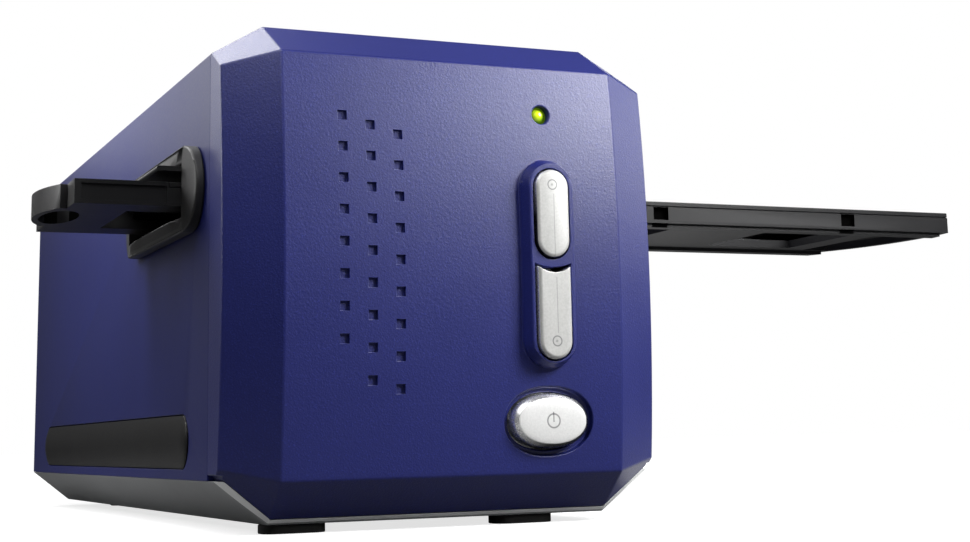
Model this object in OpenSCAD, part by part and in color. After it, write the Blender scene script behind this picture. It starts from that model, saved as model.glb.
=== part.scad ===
// Film negative scanner with a sliding mounted-slide holder.
// Frame: +X to the viewer's right, front panel facing -Y, +Z up.
// Origin: on the desk, at the centre of the housing's footprint.

/* [Housing] */
// Width of the housing across its flat sides
body_w = 110; // [100:0.5:130]
// Depth of the housing from the front panel to the rear wall
body_d = 272; // [262:1:290]
// Height of the housing above the desk
body_h = 119; // [112:0.5:130]
// Height of the tray's underside above the desk
base_z = 2.1; // [1.6:0.1:4]
// Wall thickness of the mouldings
wall_t = 2.4; // [1.8:0.1:3]
// Gap between mouldings that are fixed to each other
fit_gap = 0.1; // [0.05:0.05:0.2]
// Gap between pieces that move past each other
run_gap = 0.4; // [0.3:0.05:0.6]
// Radial clearance of a shaft in its hole
shaft_gap = 0.05; // [0.02:0.01:0.08]

/* [Front form] */
// Depth of the front cap measured from the front panel
cap_d = 19; // [19:0.5:24]
// How far the front panel bows forward over its height
bow_sag = 4.1; // [2:0.1:6]
// Half of the height over which the bow is measured
bow_half = 58; // [54:1:64]
// Width of the side bevels
side_bevel_w = 12.5; // [8:0.5:16]
// Depth of the side bevels
side_bevel_d = 7.5; // [5:0.5:10]
// Height of the top bevel
top_bevel_h = 9.1; // [6:0.1:12]
// Depth of the top bevel
top_bevel_d = 14.6; // [10:0.1:16]
// Height of the bottom bevel
low_bevel_h = 9.7; // [6:0.1:12]
// Depth of the bottom bevel
low_bevel_d = 9.8; // [6:0.1:14]
// Width of the chamfer along the top corners
top_corner_w = 12.5; // [8:0.5:16]
// Height of the chamfer along the top corners
top_corner_h = 7.6; // [5:0.1:10]
// Depth of the top corner facet along the side
top_corner_d = 18; // [14:0.5:18.5]
// Width of the chamfer along the bottom corners
low_corner_w = 12.5; // [8:0.5:16]
// Height of the chamfer along the bottom corners
low_corner_h = 10; // [6:0.1:12]
// Depth of the bottom corner facet along the side
low_corner_d = 13; // [10:0.5:16]
// Thickness of the tray's rim under the front cap
rim_t = 1.2; // [0.8:0.1:1.4]

/* [Front dimples] */
// Side of one square dimple
dimple_w = 2.2; // [1.6:0.1:2.8]
// Depth of a dimple
dimple_d = 0.8; // [0.5:0.1:1.2]
// Centre of the first column from the middle of the panel
dimple_x = -28.3; // [-32:0.1:-26]
// Distance between columns
dimple_step_x = 6.8; // [5:0.1:8]
// Height of the first column's top dimple
dimple_z = 95; // [90:0.5:98]
// Drop of each further column's top dimple
dimple_drop = 2; // [1:0.1:3]
// Distance between dimples in a column
dimple_step_z = 7.4; // [6:0.1:8]
// Dimples in the first column
dimple_n = 8; // [6:1:9]

/* [Buttons and lamp] */
// Centre line of the buttons from the middle of the panel
btn_x = 22.9; // [18:0.1:26]
// Height of the middle of the raised capsule
capsule_z = 61.3; // [58:0.1:64]
// Length of the capsule at the panel
capsule_len = 50; // [46:0.5:54]
// Width of the capsule at the panel
capsule_w = 13.7; // [12.5:0.1:15]
// Width of the capsule's rim
capsule_top_w = 11.4; // [11:0.1:12]
// Height of the capsule's rim in front of the panel
capsule_h = 3; // [2:0.1:4]
// Straight part of the capsule's walls next to the panel
capsule_land = 0.4; // [0.2:0.1:0.8]
// Width of a scan button
scan_w = 8.7; // [8:0.1:9]
// Lower end of the upper scan button
scan_up_z0 = 62.3; // [61.8:0.1:63]
// Upper end of the upper scan button
scan_up_z1 = 83.6; // [82:0.1:84.2]
// Lower end of the lower scan button
scan_low_z0 = 38.2; // [37.8:0.1:40]
// Height of the hollow top edge of the lower scan button
scan_low_z1 = 58.8; // [57:0.1:59.2]
// Radius of that hollow top edge
scan_arc_r = 6.7; // [6.2:0.1:9]
// Height of the lower edge of the web between the scan buttons
web_z = 60.1; // [59.8:0.1:60.4]
// Radius of that lower edge
web_r = 12; // [10:0.5:16]
// How far a scan button stands in front of the capsule's rim
scan_proud = 1.2; // [0.8:0.1:1.6]
// Width of the bevel round a scan button's face
scan_bevel = 0.7; // [0.4:0.1:1]
// Gap round a button
btn_gap = 0.4; // [0.3:0.05:0.5]
// Travel of a button
btn_travel = 0.6; // [0.4:0.1:0.8]
// Overhang of the flange that holds a button in
btn_lip = 0.8; // [0.6:0.1:1]
// Thickness of that flange
btn_lip_t = 1.3; // [1:0.1:1.6]
// Radius of a button's stem
stem_r = 1.5; // [1.2:0.1:2]
// Height of the middle of the power button
power_z = 24; // [22:0.1:26]
// Half length of the power button
power_a = 9.8; // [9:0.1:10.4]
// Half height of the power button
power_b = 6.35; // [5.8:0.05:6.8]
// Width of the recess round the power button
power_ring = 1.75; // [1.4:0.05:2]
// Inset of the power button's face
power_inset = 1.1; // [0.8:0.1:1.4]
// How far the power button stands in front of the panel
power_proud = 2.6; // [2:0.1:3.4]
// Depth of the power recess
power_recess = 1.6; // [1.2:0.1:1.8]
// Height of the status lamp
led_z = 97.9; // [94:0.1:100]
// Radius of the status lamp's recess
led_hole_r = 2.25; // [1.9:0.05:2.6]
// Radius of the status lamp's lens
led_lens_r = 1.7; // [1.4:0.05:1.8]
// How far the lens sits behind the panel
led_sunk = 0.9; // [0.5:0.1:1.2]

/* [Film slot] */
// Room in the slot in front of the holder
slot_front_gap = 2; // [1:0.25:3]
// Room in the slot behind the holder
slot_rear_gap = 1.5; // [1:0.25:3]
// Room in the slot under the holder
slot_under = 1.8; // [1:0.1:2.5]
// Room in the slot above the holder, where the dust flap hangs
slot_above = 4.1; // [4:0.1:5]
// Length of the guard past each end of the slot
guard_end = 10; // [6:0.25:12]
// Height of the guard above and below the slot
guard_rim = 4.1; // [3:0.1:5]
// How far the guard's middle lies above the slot's
guard_lift = 0.4; // [0:0.1:0.8]
// How far the guard stands out at its middle
guard_proud = 5; // [4:0.1:6]
// How far the guard stands out at its ends
guard_edge = 2.2; // [0.3:0.1:3]
// How much the guard falls off towards its long edges
guard_fall = 1.7; // [1:0.1:2.5]
// Wall of the guard's sleeve in the housing
sleeve_t = 1.2; // [1:0.1:1.5]
// Length of a dust flap from its hinge to its lip
flap_len = 13; // [12:0.1:14]
// Thickness of a dust flap
flap_t = 1.2; // [1:0.1:1.4]
// Radius of a dust flap's hinge barrel
flap_r = 1; // [0.9:0.05:1.1]
// Radius of a dust flap's hinge pins
flap_pin_r = 0.6; // [0.5:0.05:0.7]

/* [Side strips] */
// Front end of a side strip from the front panel
strip_front = 37.5; // [34:0.5:42]
// Rear end of a side strip from the rear wall
strip_rear = 28; // [20:0.5:36]
// Middle height of a side strip
strip_z = 21.1; // [20:0.1:24]
// Height of a side strip
strip_h = 12.5; // [11:0.1:13]
// How far a side strip stands out
strip_proud = 1; // [0.6:0.1:1.6]
// Depth of the pocket for a side strip
strip_pocket = 1.2; // [0.8:0.1:1.4]
// Gap round a side strip
strip_gap = 0.3; // [0.2:0.05:0.5]

/* [Film holder] */
// Left end of the holder's block
holder_x0 = -83.3; // [-86:0.1:-80]
// Right end of the holder
holder_x1 = 172.8; // [160:0.1:176]
// Depth of the holder
holder_d = 57; // [54:0.5:57.5]
// Middle of the holder from the front panel
holder_front = 63.5; // [62:0.25:66]
// Height of the holder's lowest rails above the desk
holder_z = 76; // [75.6:0.1:76.4]
// Height of the two rails under the holder
rail_h = 1; // [0.6:0.1:1.4]
// Width of the two rails under the holder
rail_w = 4.5; // [3:0.5:6]
// Thickness of the holder's frame above the rails
frame_t = 4.5; // [4:0.1:4.8]
// Thickness of the holder's top plate
plate_t = 1.4; // [1:0.1:1.6]
// Number of slide bays
bay_n = 4; // [3:1:4]
// Distance between bays
bay_step = 61.5; // [58:0.5:62]
// Middle of the right-hand bay's window
bay_x = 130.8; // [126:0.1:134]
// Length of a window along the holder
window_l = 30; // [26:0.5:34]
// Width of a window across the holder
window_w = 34; // [28:0.5:38]
// Half length of a slide's seat along the holder
seat_half = 25.3; // [25:0.1:26]
// Width of a slide's seat across the holder
seat_w = 50.6; // [50.2:0.1:51]
// Thickness of a slide's seat
seat_t = 2.2; // [1.8:0.1:2.6]
// Width of a detent notch in the holder's front wall
notch_w = 4.6; // [4:0.1:5]
// Depth of a detent notch
notch_d = 1.6; // [1.2:0.1:2]
// Offset of a notch from its window's middle
notch_off = 5.2; // [3:0.1:8]
// Radius of the holder's right end
end_r = 90; // [60:5:200]
// How far the middle of that radius lies in front of the holder's middle
end_off = 14; // [0:1:20]
// Radius of the grip's rounded end
grip_r = 40; // [28:0.1:50]
// How far the grip stands out past the block
grip_out = 5.4; // [4.5:0.1:6]
// Width of the grip
grip_w = 34; // [30:0.5:38]
// How far the grip's middle lies in front of the holder's
grip_off = 1.5; // [0:0.5:3]
// Half length of the grip's finger hole
grip_hole_a = 12.5; // [10:0.1:13]
// Half width of the grip's finger hole
grip_hole_b = 4.5; // [4:0.1:4.8]
// Middle of the finger hole from the block's end
grip_hole_x = 0.8; // [0:0.1:2]
// Depth of the inset panel on the grip block
inset_d = 0.6; // [0.4:0.1:0.8]
// Length of the grip block
block_l = 22.3; // [20:0.1:22.5]
// Distance of the slide springs from the holder's middle
spring_off = 22; // [20:0.5:23]
// Half length of a slide spring
spring_half = 7; // [5:0.5:8]
// Width of a slide spring
spring_w = 2.4; // [2:0.1:3]
// Thickness of a slide spring
spring_t = 0.5; // [0.3:0.1:0.6]
// Gap round a slide spring in the top plate
spring_gap = 0.3; // [0.2:0.1:0.6]

/* [Film gate] */
// Thickness of the film gate's side walls
gate_wall = 3; // [2:0.5:3.5]
// Thickness of the film gate's bed
gate_bed_t = 2.8; // [2:0.1:3.5]
// Gap between the film gate and a dust flap's barrel
gate_side = 1.7; // [1.5:0.1:2.5]
// Width of the film gate's legs along the depth
gate_leg = 4; // [3:0.5:5]
// Thickness of the film gate's legs
gate_leg_t = 2.7; // [2:0.1:3.5]
// Half width of the light window in the film gate
light_half = 21; // [20:0.5:24]
// Length of the light window past the scanned stretch
light_end = 5; // [4:0.5:8]
// Thickness of the film gate's cover
gate_cover_t = 2.3; // [1.5:0.1:2.5]
// Depth of the seat for the detent spring in the gate's wall
detent_seat = 1.8; // [1.5:0.1:2]
// Half length of the detent spring
detent_half = 5.6; // [5:0.1:6]
// Thickness of the detent spring
detent_t = 0.3; // [0.2:0.05:0.4]
// Height of the detent spring's nib
detent_nib = 0.7; // [0.5:0.1:0.8]

/* [Feet and screws] */
// Width of a rubber foot
foot_w = 15.3; // [12:0.1:18]
// Depth of a rubber foot
foot_d = 8.5; // [7:0.5:8.7]
// Front edge of the front feet from the front panel
foot_front = 14.7; // [14:0.1:18]
// Middle of the rear feet from the rear wall
foot_rear = 24; // [18:1:36]
// Middle of the front left foot
foot_xl = -35.2; // [-36:0.1:-30]
// Middle of the front right foot
foot_xr = 22.5; // [20:0.5:34]
// Middle of the rear feet from the centre line
foot_xb = 24; // [20:0.5:34]
// Distance of the case screws from the housing's sides
screw_side = 18; // [17:0.5:20]
// Front case screws from the front panel
screw_front = 26.5; // [25:0.5:28]
// Rear case screws from the rear wall
screw_rear = 12; // [10:0.5:13]
// Radius of a case screw's shank
screw_r = 1.4; // [1.2:0.1:1.6]
// Radius of a case screw's head
screw_head_r = 2.8; // [2.5:0.1:3]
// Height of a case screw's head
screw_head_h = 1.9; // [1.5:0.1:2.2]
// Depth of a screw head under the tray
screw_sunk = 0.8; // [0.5:0.1:1]
// Width of the cross in a screw's head
cross_w = 0.7; // [0.5:0.1:0.9]
// Radius of a screw post
post_r = 3.5; // [3:0.1:3.5]
// Height of the tray's posts above its floor
post_h = 2.6; // [2:0.1:4]
// Height of the front posts of the cover
post_front_h = 40; // [20:1:44]
// Height of the rear posts of the cover
post_rear_h = 12; // [10:1:20]
// Length of a screw's thread
screw_l = 10; // [8:0.5:11]

/* [Optics] */
// Optical axis from the centre line
axis_x = 7.8; // [4:0.1:8]
// Height of the optical axis
axis_z = 46; // [44:0.5:48]
// Length of the mirror along the slope
mirror_l = 24; // [20:1:26]
// Width of the mirror
mirror_w = 40; // [36:1:41]
// Thickness of the mirror
mirror_t = 3; // [2:0.5:3]
// Gap between the carriage arm and the lens barrel
lens_gap = 7.5; // [6:0.5:10]
// Length of the lens barrel
lens_l = 30; // [24:1:32]
// Outer radius of the lens barrel
lens_r = 13; // [12:0.5:14]
// Gap between the lamp housing and the film gate
lamp_gap = 3; // [2.5:0.1:4]
// Half length of the lamp housing
lamp_half = 16.5; // [15:0.5:18]
// Half width of the lamp housing
lamp_w = 8; // [7:0.5:9]
// Wall of the lamp housing
lamp_wall = 1.5; // [1:0.1:2]
// Radius of the lamp tube
tube_r = 1.5; // [1:0.1:2]
// Radius of the lamp tube's end caps
tube_cap_r = 2.3; // [2:0.1:2.6]
// Length of the lamp tube's end caps
tube_cap_l = 2.8; // [2:0.1:4]
// Height of the lamp tube above the film gate
tube_h = 10; // [7:0.5:14]
// Thickness of the lamp diffuser
diffuser_t = 1.2; // [0.8:0.1:2]
// Radius of the lens glass
glass_r = 10.5; // [9:0.5:11]
// Depth of the front glass behind the barrel's front end
front_glass_t = 2; // [1.5:0.5:4]
// Length of the rear glass
rear_glass_t = 6; // [4:0.5:8]
// Length of the barrel's nose
lens_nose = 3; // [2:0.5:4]
// How far a lens glass is domed
glass_sag = 1.5; // [1:0.1:2]
// Front face of the image sensor from the rear wall
sensor_back = 62; // [60:1:66]
// Width of the image sensor
sensor_w = 40; // [36:1:42]
// Height of the image sensor
sensor_h = 10; // [8:1:10]
// Thickness of the image sensor
sensor_t = 3; // [2:0.5:3.5]
// Thickness of a circuit board
pcb_t = 1.6; // [1.2:0.2:1.6]

/* [Carriage and drive] */
// Half width of the sled
sled_half = 32; // [31:0.5:32]
// Length of the sled in front of the scanning line
sled_front = 16.5; // [15:0.5:18]
// Gap behind the sled at the home position
sled_gap = 7; // [6:0.5:10]
// Underside of the sled
sled_z = 27; // [26.5:0.1:28]
// Thickness of the sled's floor
sled_t = 2.5; // [2:0.1:3]
// Height of the sled's side walls
sled_wall_h = 14; // [10:1:16]
// Distance of the guide rods from the centre line
rod_x = 38; // [37.5:0.5:38]
// Height of the guide rods
rod_z = 30; // [29.5:0.5:31]
// Radius of a guide rod
rod_r = 3; // [2.5:0.1:3]
// Outer radius of a carriage bush
bush_r = 4.2; // [4:0.1:4.3]
// Length of a carriage bush
bush_l = 10; // [8:1:12]
// Wall of the sled round a carriage bush
bush_wall = 1; // [0.8:0.1:1.5]
// Middle of the front bushes from the sled's front end
bush_front = 20; // [18:1:24]
// Middle of the rear bushes from the sled's rear end
bush_rear = 26; // [20:1:30]
// Front face of the front rod bracket from the front panel
bracket_front = 35.9; // [35.8:0.1:37]
// Front face of the rear rod bracket from the rear wall
bracket_rear = 37; // [36:0.5:38]
// Width of a rod bracket beyond the rod's middle
bracket_rim = 5.5; // [5:0.1:6]
// Chamfer at the foot of a rod bracket
bracket_cut = 5; // [4:0.5:6]
// Thickness of a rod bracket
bracket_t = 5; // [4:0.5:5]
// Lead screw from the centre line
lead_x = -20; // [-22:0.5:-18]
// Height of the lead screw
lead_z = 18.5; // [18:0.5:19]
// Radius of the lead screw
lead_r = 2.5; // [2:0.1:2.8]
// Radius of the stepper motor
motor_r = 12.5; // [11:0.5:12.5]
// Length of the stepper motor
motor_l = 17; // [14:1:18]
// Gap between the film gate and the carriage arm at the front limit
arm_gap = 1.1; // [0.8:0.1:2]
// Thickness of the carriage arm's post
arm_t = 6; // [5:0.5:7]
// Half width of the carriage arm
arm_half = 19; // [17:1:20]
// Top of the carriage arm
arm_z1 = 106; // [104:0.5:108]
// Thickness of the carriage arm's beam
beam_t = 4; // [3:0.5:5]
// Length of the carriage arm's beam in front of the scanning line
beam_front = 9; // [8.5:0.5:10]
// Depth of the ribs along the carriage arm's beam
beam_rib = 9; // [6:0.5:10]
// Width of the lead screw's nut and bearing
nut_w = 12; // [10:0.5:12]
// Length of the lead screw's nut
nut_l = 10; // [8:0.5:12]
// Length of the lead screw's front bearing
bearing_l = 6; // [5:0.5:8]
// Front face of that bearing from the nut at the front limit
bearing_off = 16; // [14:0.5:18]

/* [Electronics] */
// Front face of the button board from the front panel
btn_board_front = 12.8; // [12:0.1:13.5]
// Width of the button board
btn_board_w = 29; // [27:0.5:30]
// Side of a push switch
switch_w = 6; // [5:0.5:6.5]
// Thickness of a push switch's body
switch_t = 3.5; // [3:0.1:3.8]
// Length of a push switch's plunger
plunger_l = 1; // [0.8:0.1:1.2]
// Distance of the main board's inner face from the right wall
board_side = 5.2; // [5:0.1:6]
// Gap between the film gate and the main board
board_gap = 12.6; // [10:0.1:20]
// Rear end of the main board from the rear wall
board_back = 6; // [5:1:12]
// Lower edge of the main board
board_z0 = 37; // [36:0.5:40]
// Upper edge of the main board
board_z1 = 92; // [80:1:94]
// How far a socket's face sits behind the rear wall
socket_sunk = 0.3; // [0.2:0.1:0.6]
// Height of the middle of the USB socket
usb_z = 43; // [42:0.5:46]
// Width of the USB socket
usb_w = 12; // [11.9:0.1:12.1]
// Height of the USB socket
usb_h = 11; // [10.8:0.1:11.2]
// Length of the USB socket
usb_l = 16; // [14:0.5:18]
// Width of the USB socket's mouth
usb_mouth_w = 8.6; // [8.4:0.1:8.8]
// Height of the USB socket's mouth
usb_mouth_h = 8; // [7.8:0.1:8.2]
// Depth of the USB socket's mouth
usb_mouth_d = 10; // [9:0.5:11]
// Width of the USB socket's tongue
usb_tongue_w = 3.2; // [3:0.1:3.4]
// Height of the USB socket's tongue
usb_tongue_h = 5.6; // [5.4:0.1:5.8]
// Height of the middle of the power jack
jack_z = 62; // [60:0.5:66]
// Side of the power jack's body
jack_w = 10.8; // [10:0.1:11]
// Length of the power jack
jack_l = 14; // [13:0.5:15]
// Length of the power jack's round nose
jack_nose = 4; // [3:0.5:5]
// Radius of the power jack's bore
jack_r = 3.1; // [2.8:0.1:3.2]
// Depth of the power jack's bore
jack_d = 9.5; // [9:0.5:10]
// Radius of the power jack's pin
jack_pin_r = 1; // [0.9:0.05:1.1]
// Gap round a socket in the rear panel
socket_gap = 0.2; // [0.1:0.05:0.3]
// Number of air slits in the rear panel
vent_n = 8; // [4:1:9]
// Width of an air slit
vent_w = 2.5; // [2:0.1:3]
// Distance between air slits
vent_step = 5; // [4:0.5:6]
// Left end of the air slits from the left side
vent_side = 21; // [16:1:26]
// Length of an air slit
vent_l = 32; // [20:1:34]
// Room in the rear opening beside the sockets and slits
opening_side = 5; // [4:0.5:8]
// Room in the rear opening below the USB socket's middle
opening_low = 15; // [12:1:18]
// Room in the rear opening above the power jack's middle
opening_high = 22; // [16:1:30]
// Overlap of the rear panel's flange inside the opening
panel_lip = 2; // [1:0.5:3]
// Gap between the lamp inverter and the left wall
inverter_gap = 4; // [3:0.5:6]
// Rear end of the lamp inverter from the rear wall
inverter_back = 36; // [30:1:60]
// Length of the lamp inverter's board
inverter_l = 66; // [60:1:70]
// Lower edge of the lamp inverter's board
inverter_z = 44; // [40:1:50]
// Height of the lamp inverter's board
inverter_h = 28; // [24:1:32]

/* [Hidden] */
$fn = 72;
over = 6;
far = 400;
oval_n = 64;
hole_r = 1.3;
peg_r = 1.8;
peg_off = 11;
board_peg = 5;
board_peg_low = 9;
board_peg_top = 6;
plunger_r = 1.7;
led_r = 1.5;
led_h = 5.1;
led_foot_r = 2;
led_foot_t = 1.1;
lens_flange = 0.6;
led_dome_r = 1.2 * led_lens_r;
rod_sunk = 0.5;
bracket_low = 8;
wedge_t = 3;
sled_wall = 2;
flag_x = 17.3;
flag_t = 1.4;
flag_h = 10;
fork_w = 12;
fork_l = 5.5;
fork_z = 14;
fork_h = 9;
fork_slot = 3;
sensor_post = 19;
sensor_board_half = 28;
sensor_board_up = 14;
motor_boss = 1.5;
motor_ear = 3.5;
ear_t = 1.2;
chip_y = 42;
chip_z = 26;
chip_w = 24;
chip_t = 2.2;
plug_y = 14;
plug_w = 4;
plug_l = 30;
can_y = 104;
can_z = 46;
can_r = 4;
can_l = 3.6;
coil_y = 12;
coil_l = 18;
coil_t = 8;
tongue_sunk = 1.5;
jack_nose_r = jack_r + 1;
side_edge = 0.9;
inset_edge = 1.6;
rail_back = 2.5;
end_room = 8;
end_wall = 2;
end_rim = 7;
blue = [0.15, 0.16, 0.36];
grey = [0.52, 0.54, 0.56];
black = [0.09, 0.09, 0.09];
silver = [0.78, 0.79, 0.78];
green = [0.1, 0.35, 0.15];
steel = [0.66, 0.67, 0.69];

half_w = body_w / 2;
front_y = -body_d / 2;
rear_y = body_d / 2;
seam_y = front_y + cap_d;
split_z = base_z + low_corner_h;
floor_z = base_z + wall_t;
inner_x = half_w - wall_t;
bow_r = (bow_half * bow_half + bow_sag * bow_sag) / (2 * bow_sag);
bow_cy = front_y + bow_r;
bow_mid = (body_h + 1) / 2;

capsule_y = bow_y(capsule_z) - capsule_h;
scan_y = capsule_y - scan_proud;
lip_y = bow_y(scan_up_z1) + wall_t + run_gap;
power_y = bow_y(power_z) - power_proud;
power_lip_y = bow_y(power_z - power_b) + wall_t + run_gap;
btn_board_y = front_y + btn_board_front;
switch_y = btn_board_y - switch_t;
plunger_y = switch_y - plunger_l;
stem_y = plunger_y - btn_travel - run_gap / 2;
arc_z = scan_low_z1 + scan_arc_r;
scan_low_top = arc_z - sqrt(scan_arc_r * scan_arc_r - scan_w * scan_w / 4);
up_mid = (scan_up_z0 + scan_up_z1) / 2;
low_mid = (scan_low_z0 + scan_low_z1) / 2;

holder_y = front_y + holder_front;
holder_y0 = holder_y - holder_d / 2;
holder_y1 = holder_y + holder_d / 2;
frame_z = holder_z + rail_h;
plate_z = frame_z + frame_t;
holder_top = plate_z + plate_t;
block_x1 = holder_x0 + block_l;

slot_y0 = holder_y0 - slot_front_gap;
slot_y1 = holder_y1 + slot_rear_gap;
slot_z0 = holder_z - slot_under;
slot_z1 = holder_top + slot_above;
guard_y = (slot_y0 + slot_y1) / 2;
guard_z = (slot_z0 + slot_z1) / 2 + guard_lift;
guard_len = slot_y1 - slot_y0 + 2 * guard_end;
guard_h = slot_z1 - slot_z0 + 2 * guard_rim;
hinge_x = inner_x - flap_r - run_gap;
hinge_z = slot_z1 - flap_r;
flap_drop = hinge_z - flap_t / 2 - holder_top - run_gap;
flap_swing = asin(flap_drop / flap_len);

strip_y0 = front_y + strip_front;
strip_y1 = rear_y - strip_rear;
foot_y0 = front_y + foot_front;
foot_y1 = rear_y - foot_rear;
screw_x = half_w - screw_side;
screw_y0 = front_y + screw_front;
screw_y1 = rear_y - screw_rear;

gate_x = hinge_x - flap_r - gate_side;
gate_bed_z = holder_z - run_gap;
gate_y0 = holder_y0 - run_gap - gate_wall;
gate_y1 = holder_y1 + run_gap + gate_wall;
gate_top = holder_top + run_gap;
line_y = holder_y + window_w / 2;
scan_travel = window_w;
detent_x = bay_x - 2 * bay_step + notch_off;
detent_y = gate_y0 + detent_seat;

arm_y0 = gate_y1 + scan_travel + arm_gap;
lens_y0 = arm_y0 + arm_t + lens_gap;
sensor_y = rear_y - sensor_back;
bracket_y0 = front_y + bracket_front;
bracket_y1 = rear_y - bracket_rear;
bracket_half = rod_x + bracket_rim;
sled_y0 = line_y - sled_front;
sled_y1 = bracket_y1 - sled_gap;
bush_y0 = sled_y0 + bush_front;
bush_y1 = sled_y1 - bush_rear;
nut_y = bush_y1;
bearing_y = nut_y - scan_travel - bearing_off;

board_x = inner_x - board_side;
board_y0 = gate_y1 + board_gap;
board_y1 = rear_y - board_back;
vent_x = vent_side - half_w;
socket_x = board_x - fit_gap - usb_w / 2;
socket_y = rear_y - socket_sunk;
inverter_x = inverter_gap - inner_x;
inverter_y1 = rear_y - inverter_back;
inverter_y0 = inverter_y1 - inverter_l;

// Height of a circular bow over the desk turned into depth
function bow_y(z) = bow_cy - sqrt(bow_r * bow_r - (z - bow_mid) * (z - bow_mid));
function bend(v) = sign(v) * pow(abs(v), 0.94);
function leg_v(a, b, t) = t * (norm([a, b]) - b) / a;
function leg_h(a, b, t) = t * (norm([a, b]) - a) / b;

module box(x0, x1, y0, y1, z0, z1) {
    translate([x0, y0, z0])
        cube([x1 - x0, y1 - y0, z1 - z0]);
}

// The same box on the left and on the right of the centre line
module both_sides(x0, x1, y0, y1, z0, z1) {
    box(x0, x1, y0, y1, z0, z1);
    box(-x1, -x0, y0, y1, z0, z1);
}

module rod_y(r, y0, y1) {
    translate([0, y0, 0])
        rotate([-90, 0, 0])
            cylinder(r = r, h = y1 - y0);
}

module rod_x_dir(r, x0, x1) {
    translate([x0, 0, 0])
        rotate([0, 90, 0])
            cylinder(r = r, h = x1 - x0);
}

// Profile drawn as Y and Z, extruded along X
module along_x(x0, x1) {
    translate([x0, 0, 0])
        rotate([90, 0, 90])
            linear_extrude(height = x1 - x0)
                children();
}

// Profile drawn as X and Z, extruded along Y
module along_y(y0, y1) {
    translate([0, y1, 0])
        rotate([90, 0, 0])
            linear_extrude(height = y1 - y0)
                children();
}

module stadium(l, h) {
    square([l - h, h], center = true);
    for (s = [-1, 1])
        translate([s * (l - h) / 2, 0])
            circle(d = h);
}

// Slightly squared oval
module oval(a, b) {
    polygon([for (i = [0:oval_n - 1])
        [a * bend(cos(i * 360 / oval_n)), b * bend(sin(i * 360 / oval_n))]]);
}

// Removes what lies outside the plane through p with outward normal n
module outside(p, n, t) {
    u = n / norm(n);
    translate(p - t * u)
        rotate([0, acos(u[2]), atan2(u[1], u[0])])
            translate([-far / 2, -far / 2, 0])
                cube([far, far, far / 4]);
}

// Cross-section of the housing, drawn as X and Z, shrunk by t
module section(t) {
    tv = body_h - top_corner_h - leg_v(top_corner_w, top_corner_h, t);
    th = half_w - top_corner_w - leg_h(top_corner_w, top_corner_h, t);
    lv = base_z + low_corner_h + leg_v(low_corner_w, low_corner_h, t);
    lh = half_w - low_corner_w - leg_h(low_corner_w, low_corner_h, t);
    polygon([[half_w - t, lv], [half_w - t, tv], [th, body_h - t], [-th, body_h - t],
        [t - half_w, tv], [t - half_w, lv], [-lh, base_z + t], [lh, base_z + t]]);
}

// Bowed front with its side bevels, turned about a far axis across the housing
module bowed_front(t) {
    xt = half_w - side_bevel_w - leg_h(side_bevel_w, side_bevel_d, t);
    xo = half_w + over;
    ro = bow_r - t - (xo - xt) * side_bevel_d / side_bevel_w;
    ri = bow_r - body_d - 10 * over;
    translate([0, bow_cy, bow_mid])
        rotate([0, 90, 0])
            rotate_extrude($fn = 360)
                polygon([[ri, -xo], [ro, -xo], [bow_r - t, -xt], [bow_r - t, xt], [ro, xo],
                    [ri, xo]]);
}

// Bevels above and below the panel and the four corner facets
module front_cuts(t) {
    yt = bow_y(body_h) + top_bevel_d;
    yl = bow_y(base_z) + low_bevel_d;
    zt = body_h - top_bevel_h;
    zl = base_z + low_bevel_h;
    outside([0, yt, body_h], [0, zt - body_h, yt - bow_y(zt)], t);
    outside([0, yl, base_z], [0, base_z - zl, bow_y(zl) - yl], t);
    for (s = [-1, 1]) {
        at = [s * half_w, front_y + top_corner_d, body_h - top_corner_h];
        bt = [s * (half_w - top_corner_w), yt, body_h];
        ct = [s * (half_w - side_bevel_w), bow_y(zt), zt];
        outside(at, -s * cross(ct - at, bt - at), t);
        al = [s * half_w, front_y + low_corner_d, base_z + low_corner_h];
        bl = [s * (half_w - low_corner_w), yl, base_z];
        cl = [s * (half_w - side_bevel_w), bow_y(zl), zl];
        outside(al, -s * cross(bl - al, cl - al), t);
    }
}

// The whole housing as one block, shrunk by t
module housing(t) {
    difference() {
        intersection() {
            along_y(front_y - over, rear_y - t)
                section(t);
            bowed_front(t);
        }
        front_cuts(t);
    }
}

// Stadium standing on the panel, its walls drafted above a short land
module capsule_block() {
    inset = capsule_w - capsule_top_w;
    y0 = bow_y(capsule_z + capsule_len / 2) + wall_t / 2;
    y1 = capsule_y + capsule_h - capsule_land;
    c = (capsule_len - capsule_w) / 2;
    translate([btn_x, 0, capsule_z]) {
        along_y(y1, y0)
            rotate(90)
                stadium(capsule_len, capsule_w);
        along_y(capsule_y + inset / 4, y0)
            rotate(90)
                stadium(capsule_len - inset, capsule_top_w);
        for (s = [-1, 1])
            translate([0, y1, s * c])
                rotate([90, 0, 0])
                    cylinder(r1 = capsule_w / 2, r2 = capsule_top_w / 2, h = y1 - capsule_y);
        translate([0, 0, -c])
            linear_extrude(height = 2 * c)
                polygon([[-capsule_w / 2, y1], [capsule_w / 2, y1], [capsule_top_w / 2, capsule_y],
                    [-capsule_top_w / 2, capsule_y]]);
    }
}

module scan_up_2d(g) {
    translate([btn_x, up_mid])
        rotate(90)
            stadium(scan_up_z1 - scan_up_z0 + 2 * g, scan_w + 2 * g);
}

// Opening for the lower scan button
module scan_low_hole_2d() {
    w = scan_w / 2 + btn_gap;
    difference() {
        translate([btn_x, scan_low_z0 + scan_w / 2]) {
            translate([-w, 0])
                square([2 * w, web_z + web_r / 4 - scan_low_z0 - scan_w / 2]);
            circle(r = w);
        }
        translate([btn_x, web_z + web_r])
            circle(r = web_r, $fn = 120);
    }
}

module power_2d(g) {
    translate([btn_x, power_z])
        oval(power_a + g, power_b + g);
}

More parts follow.
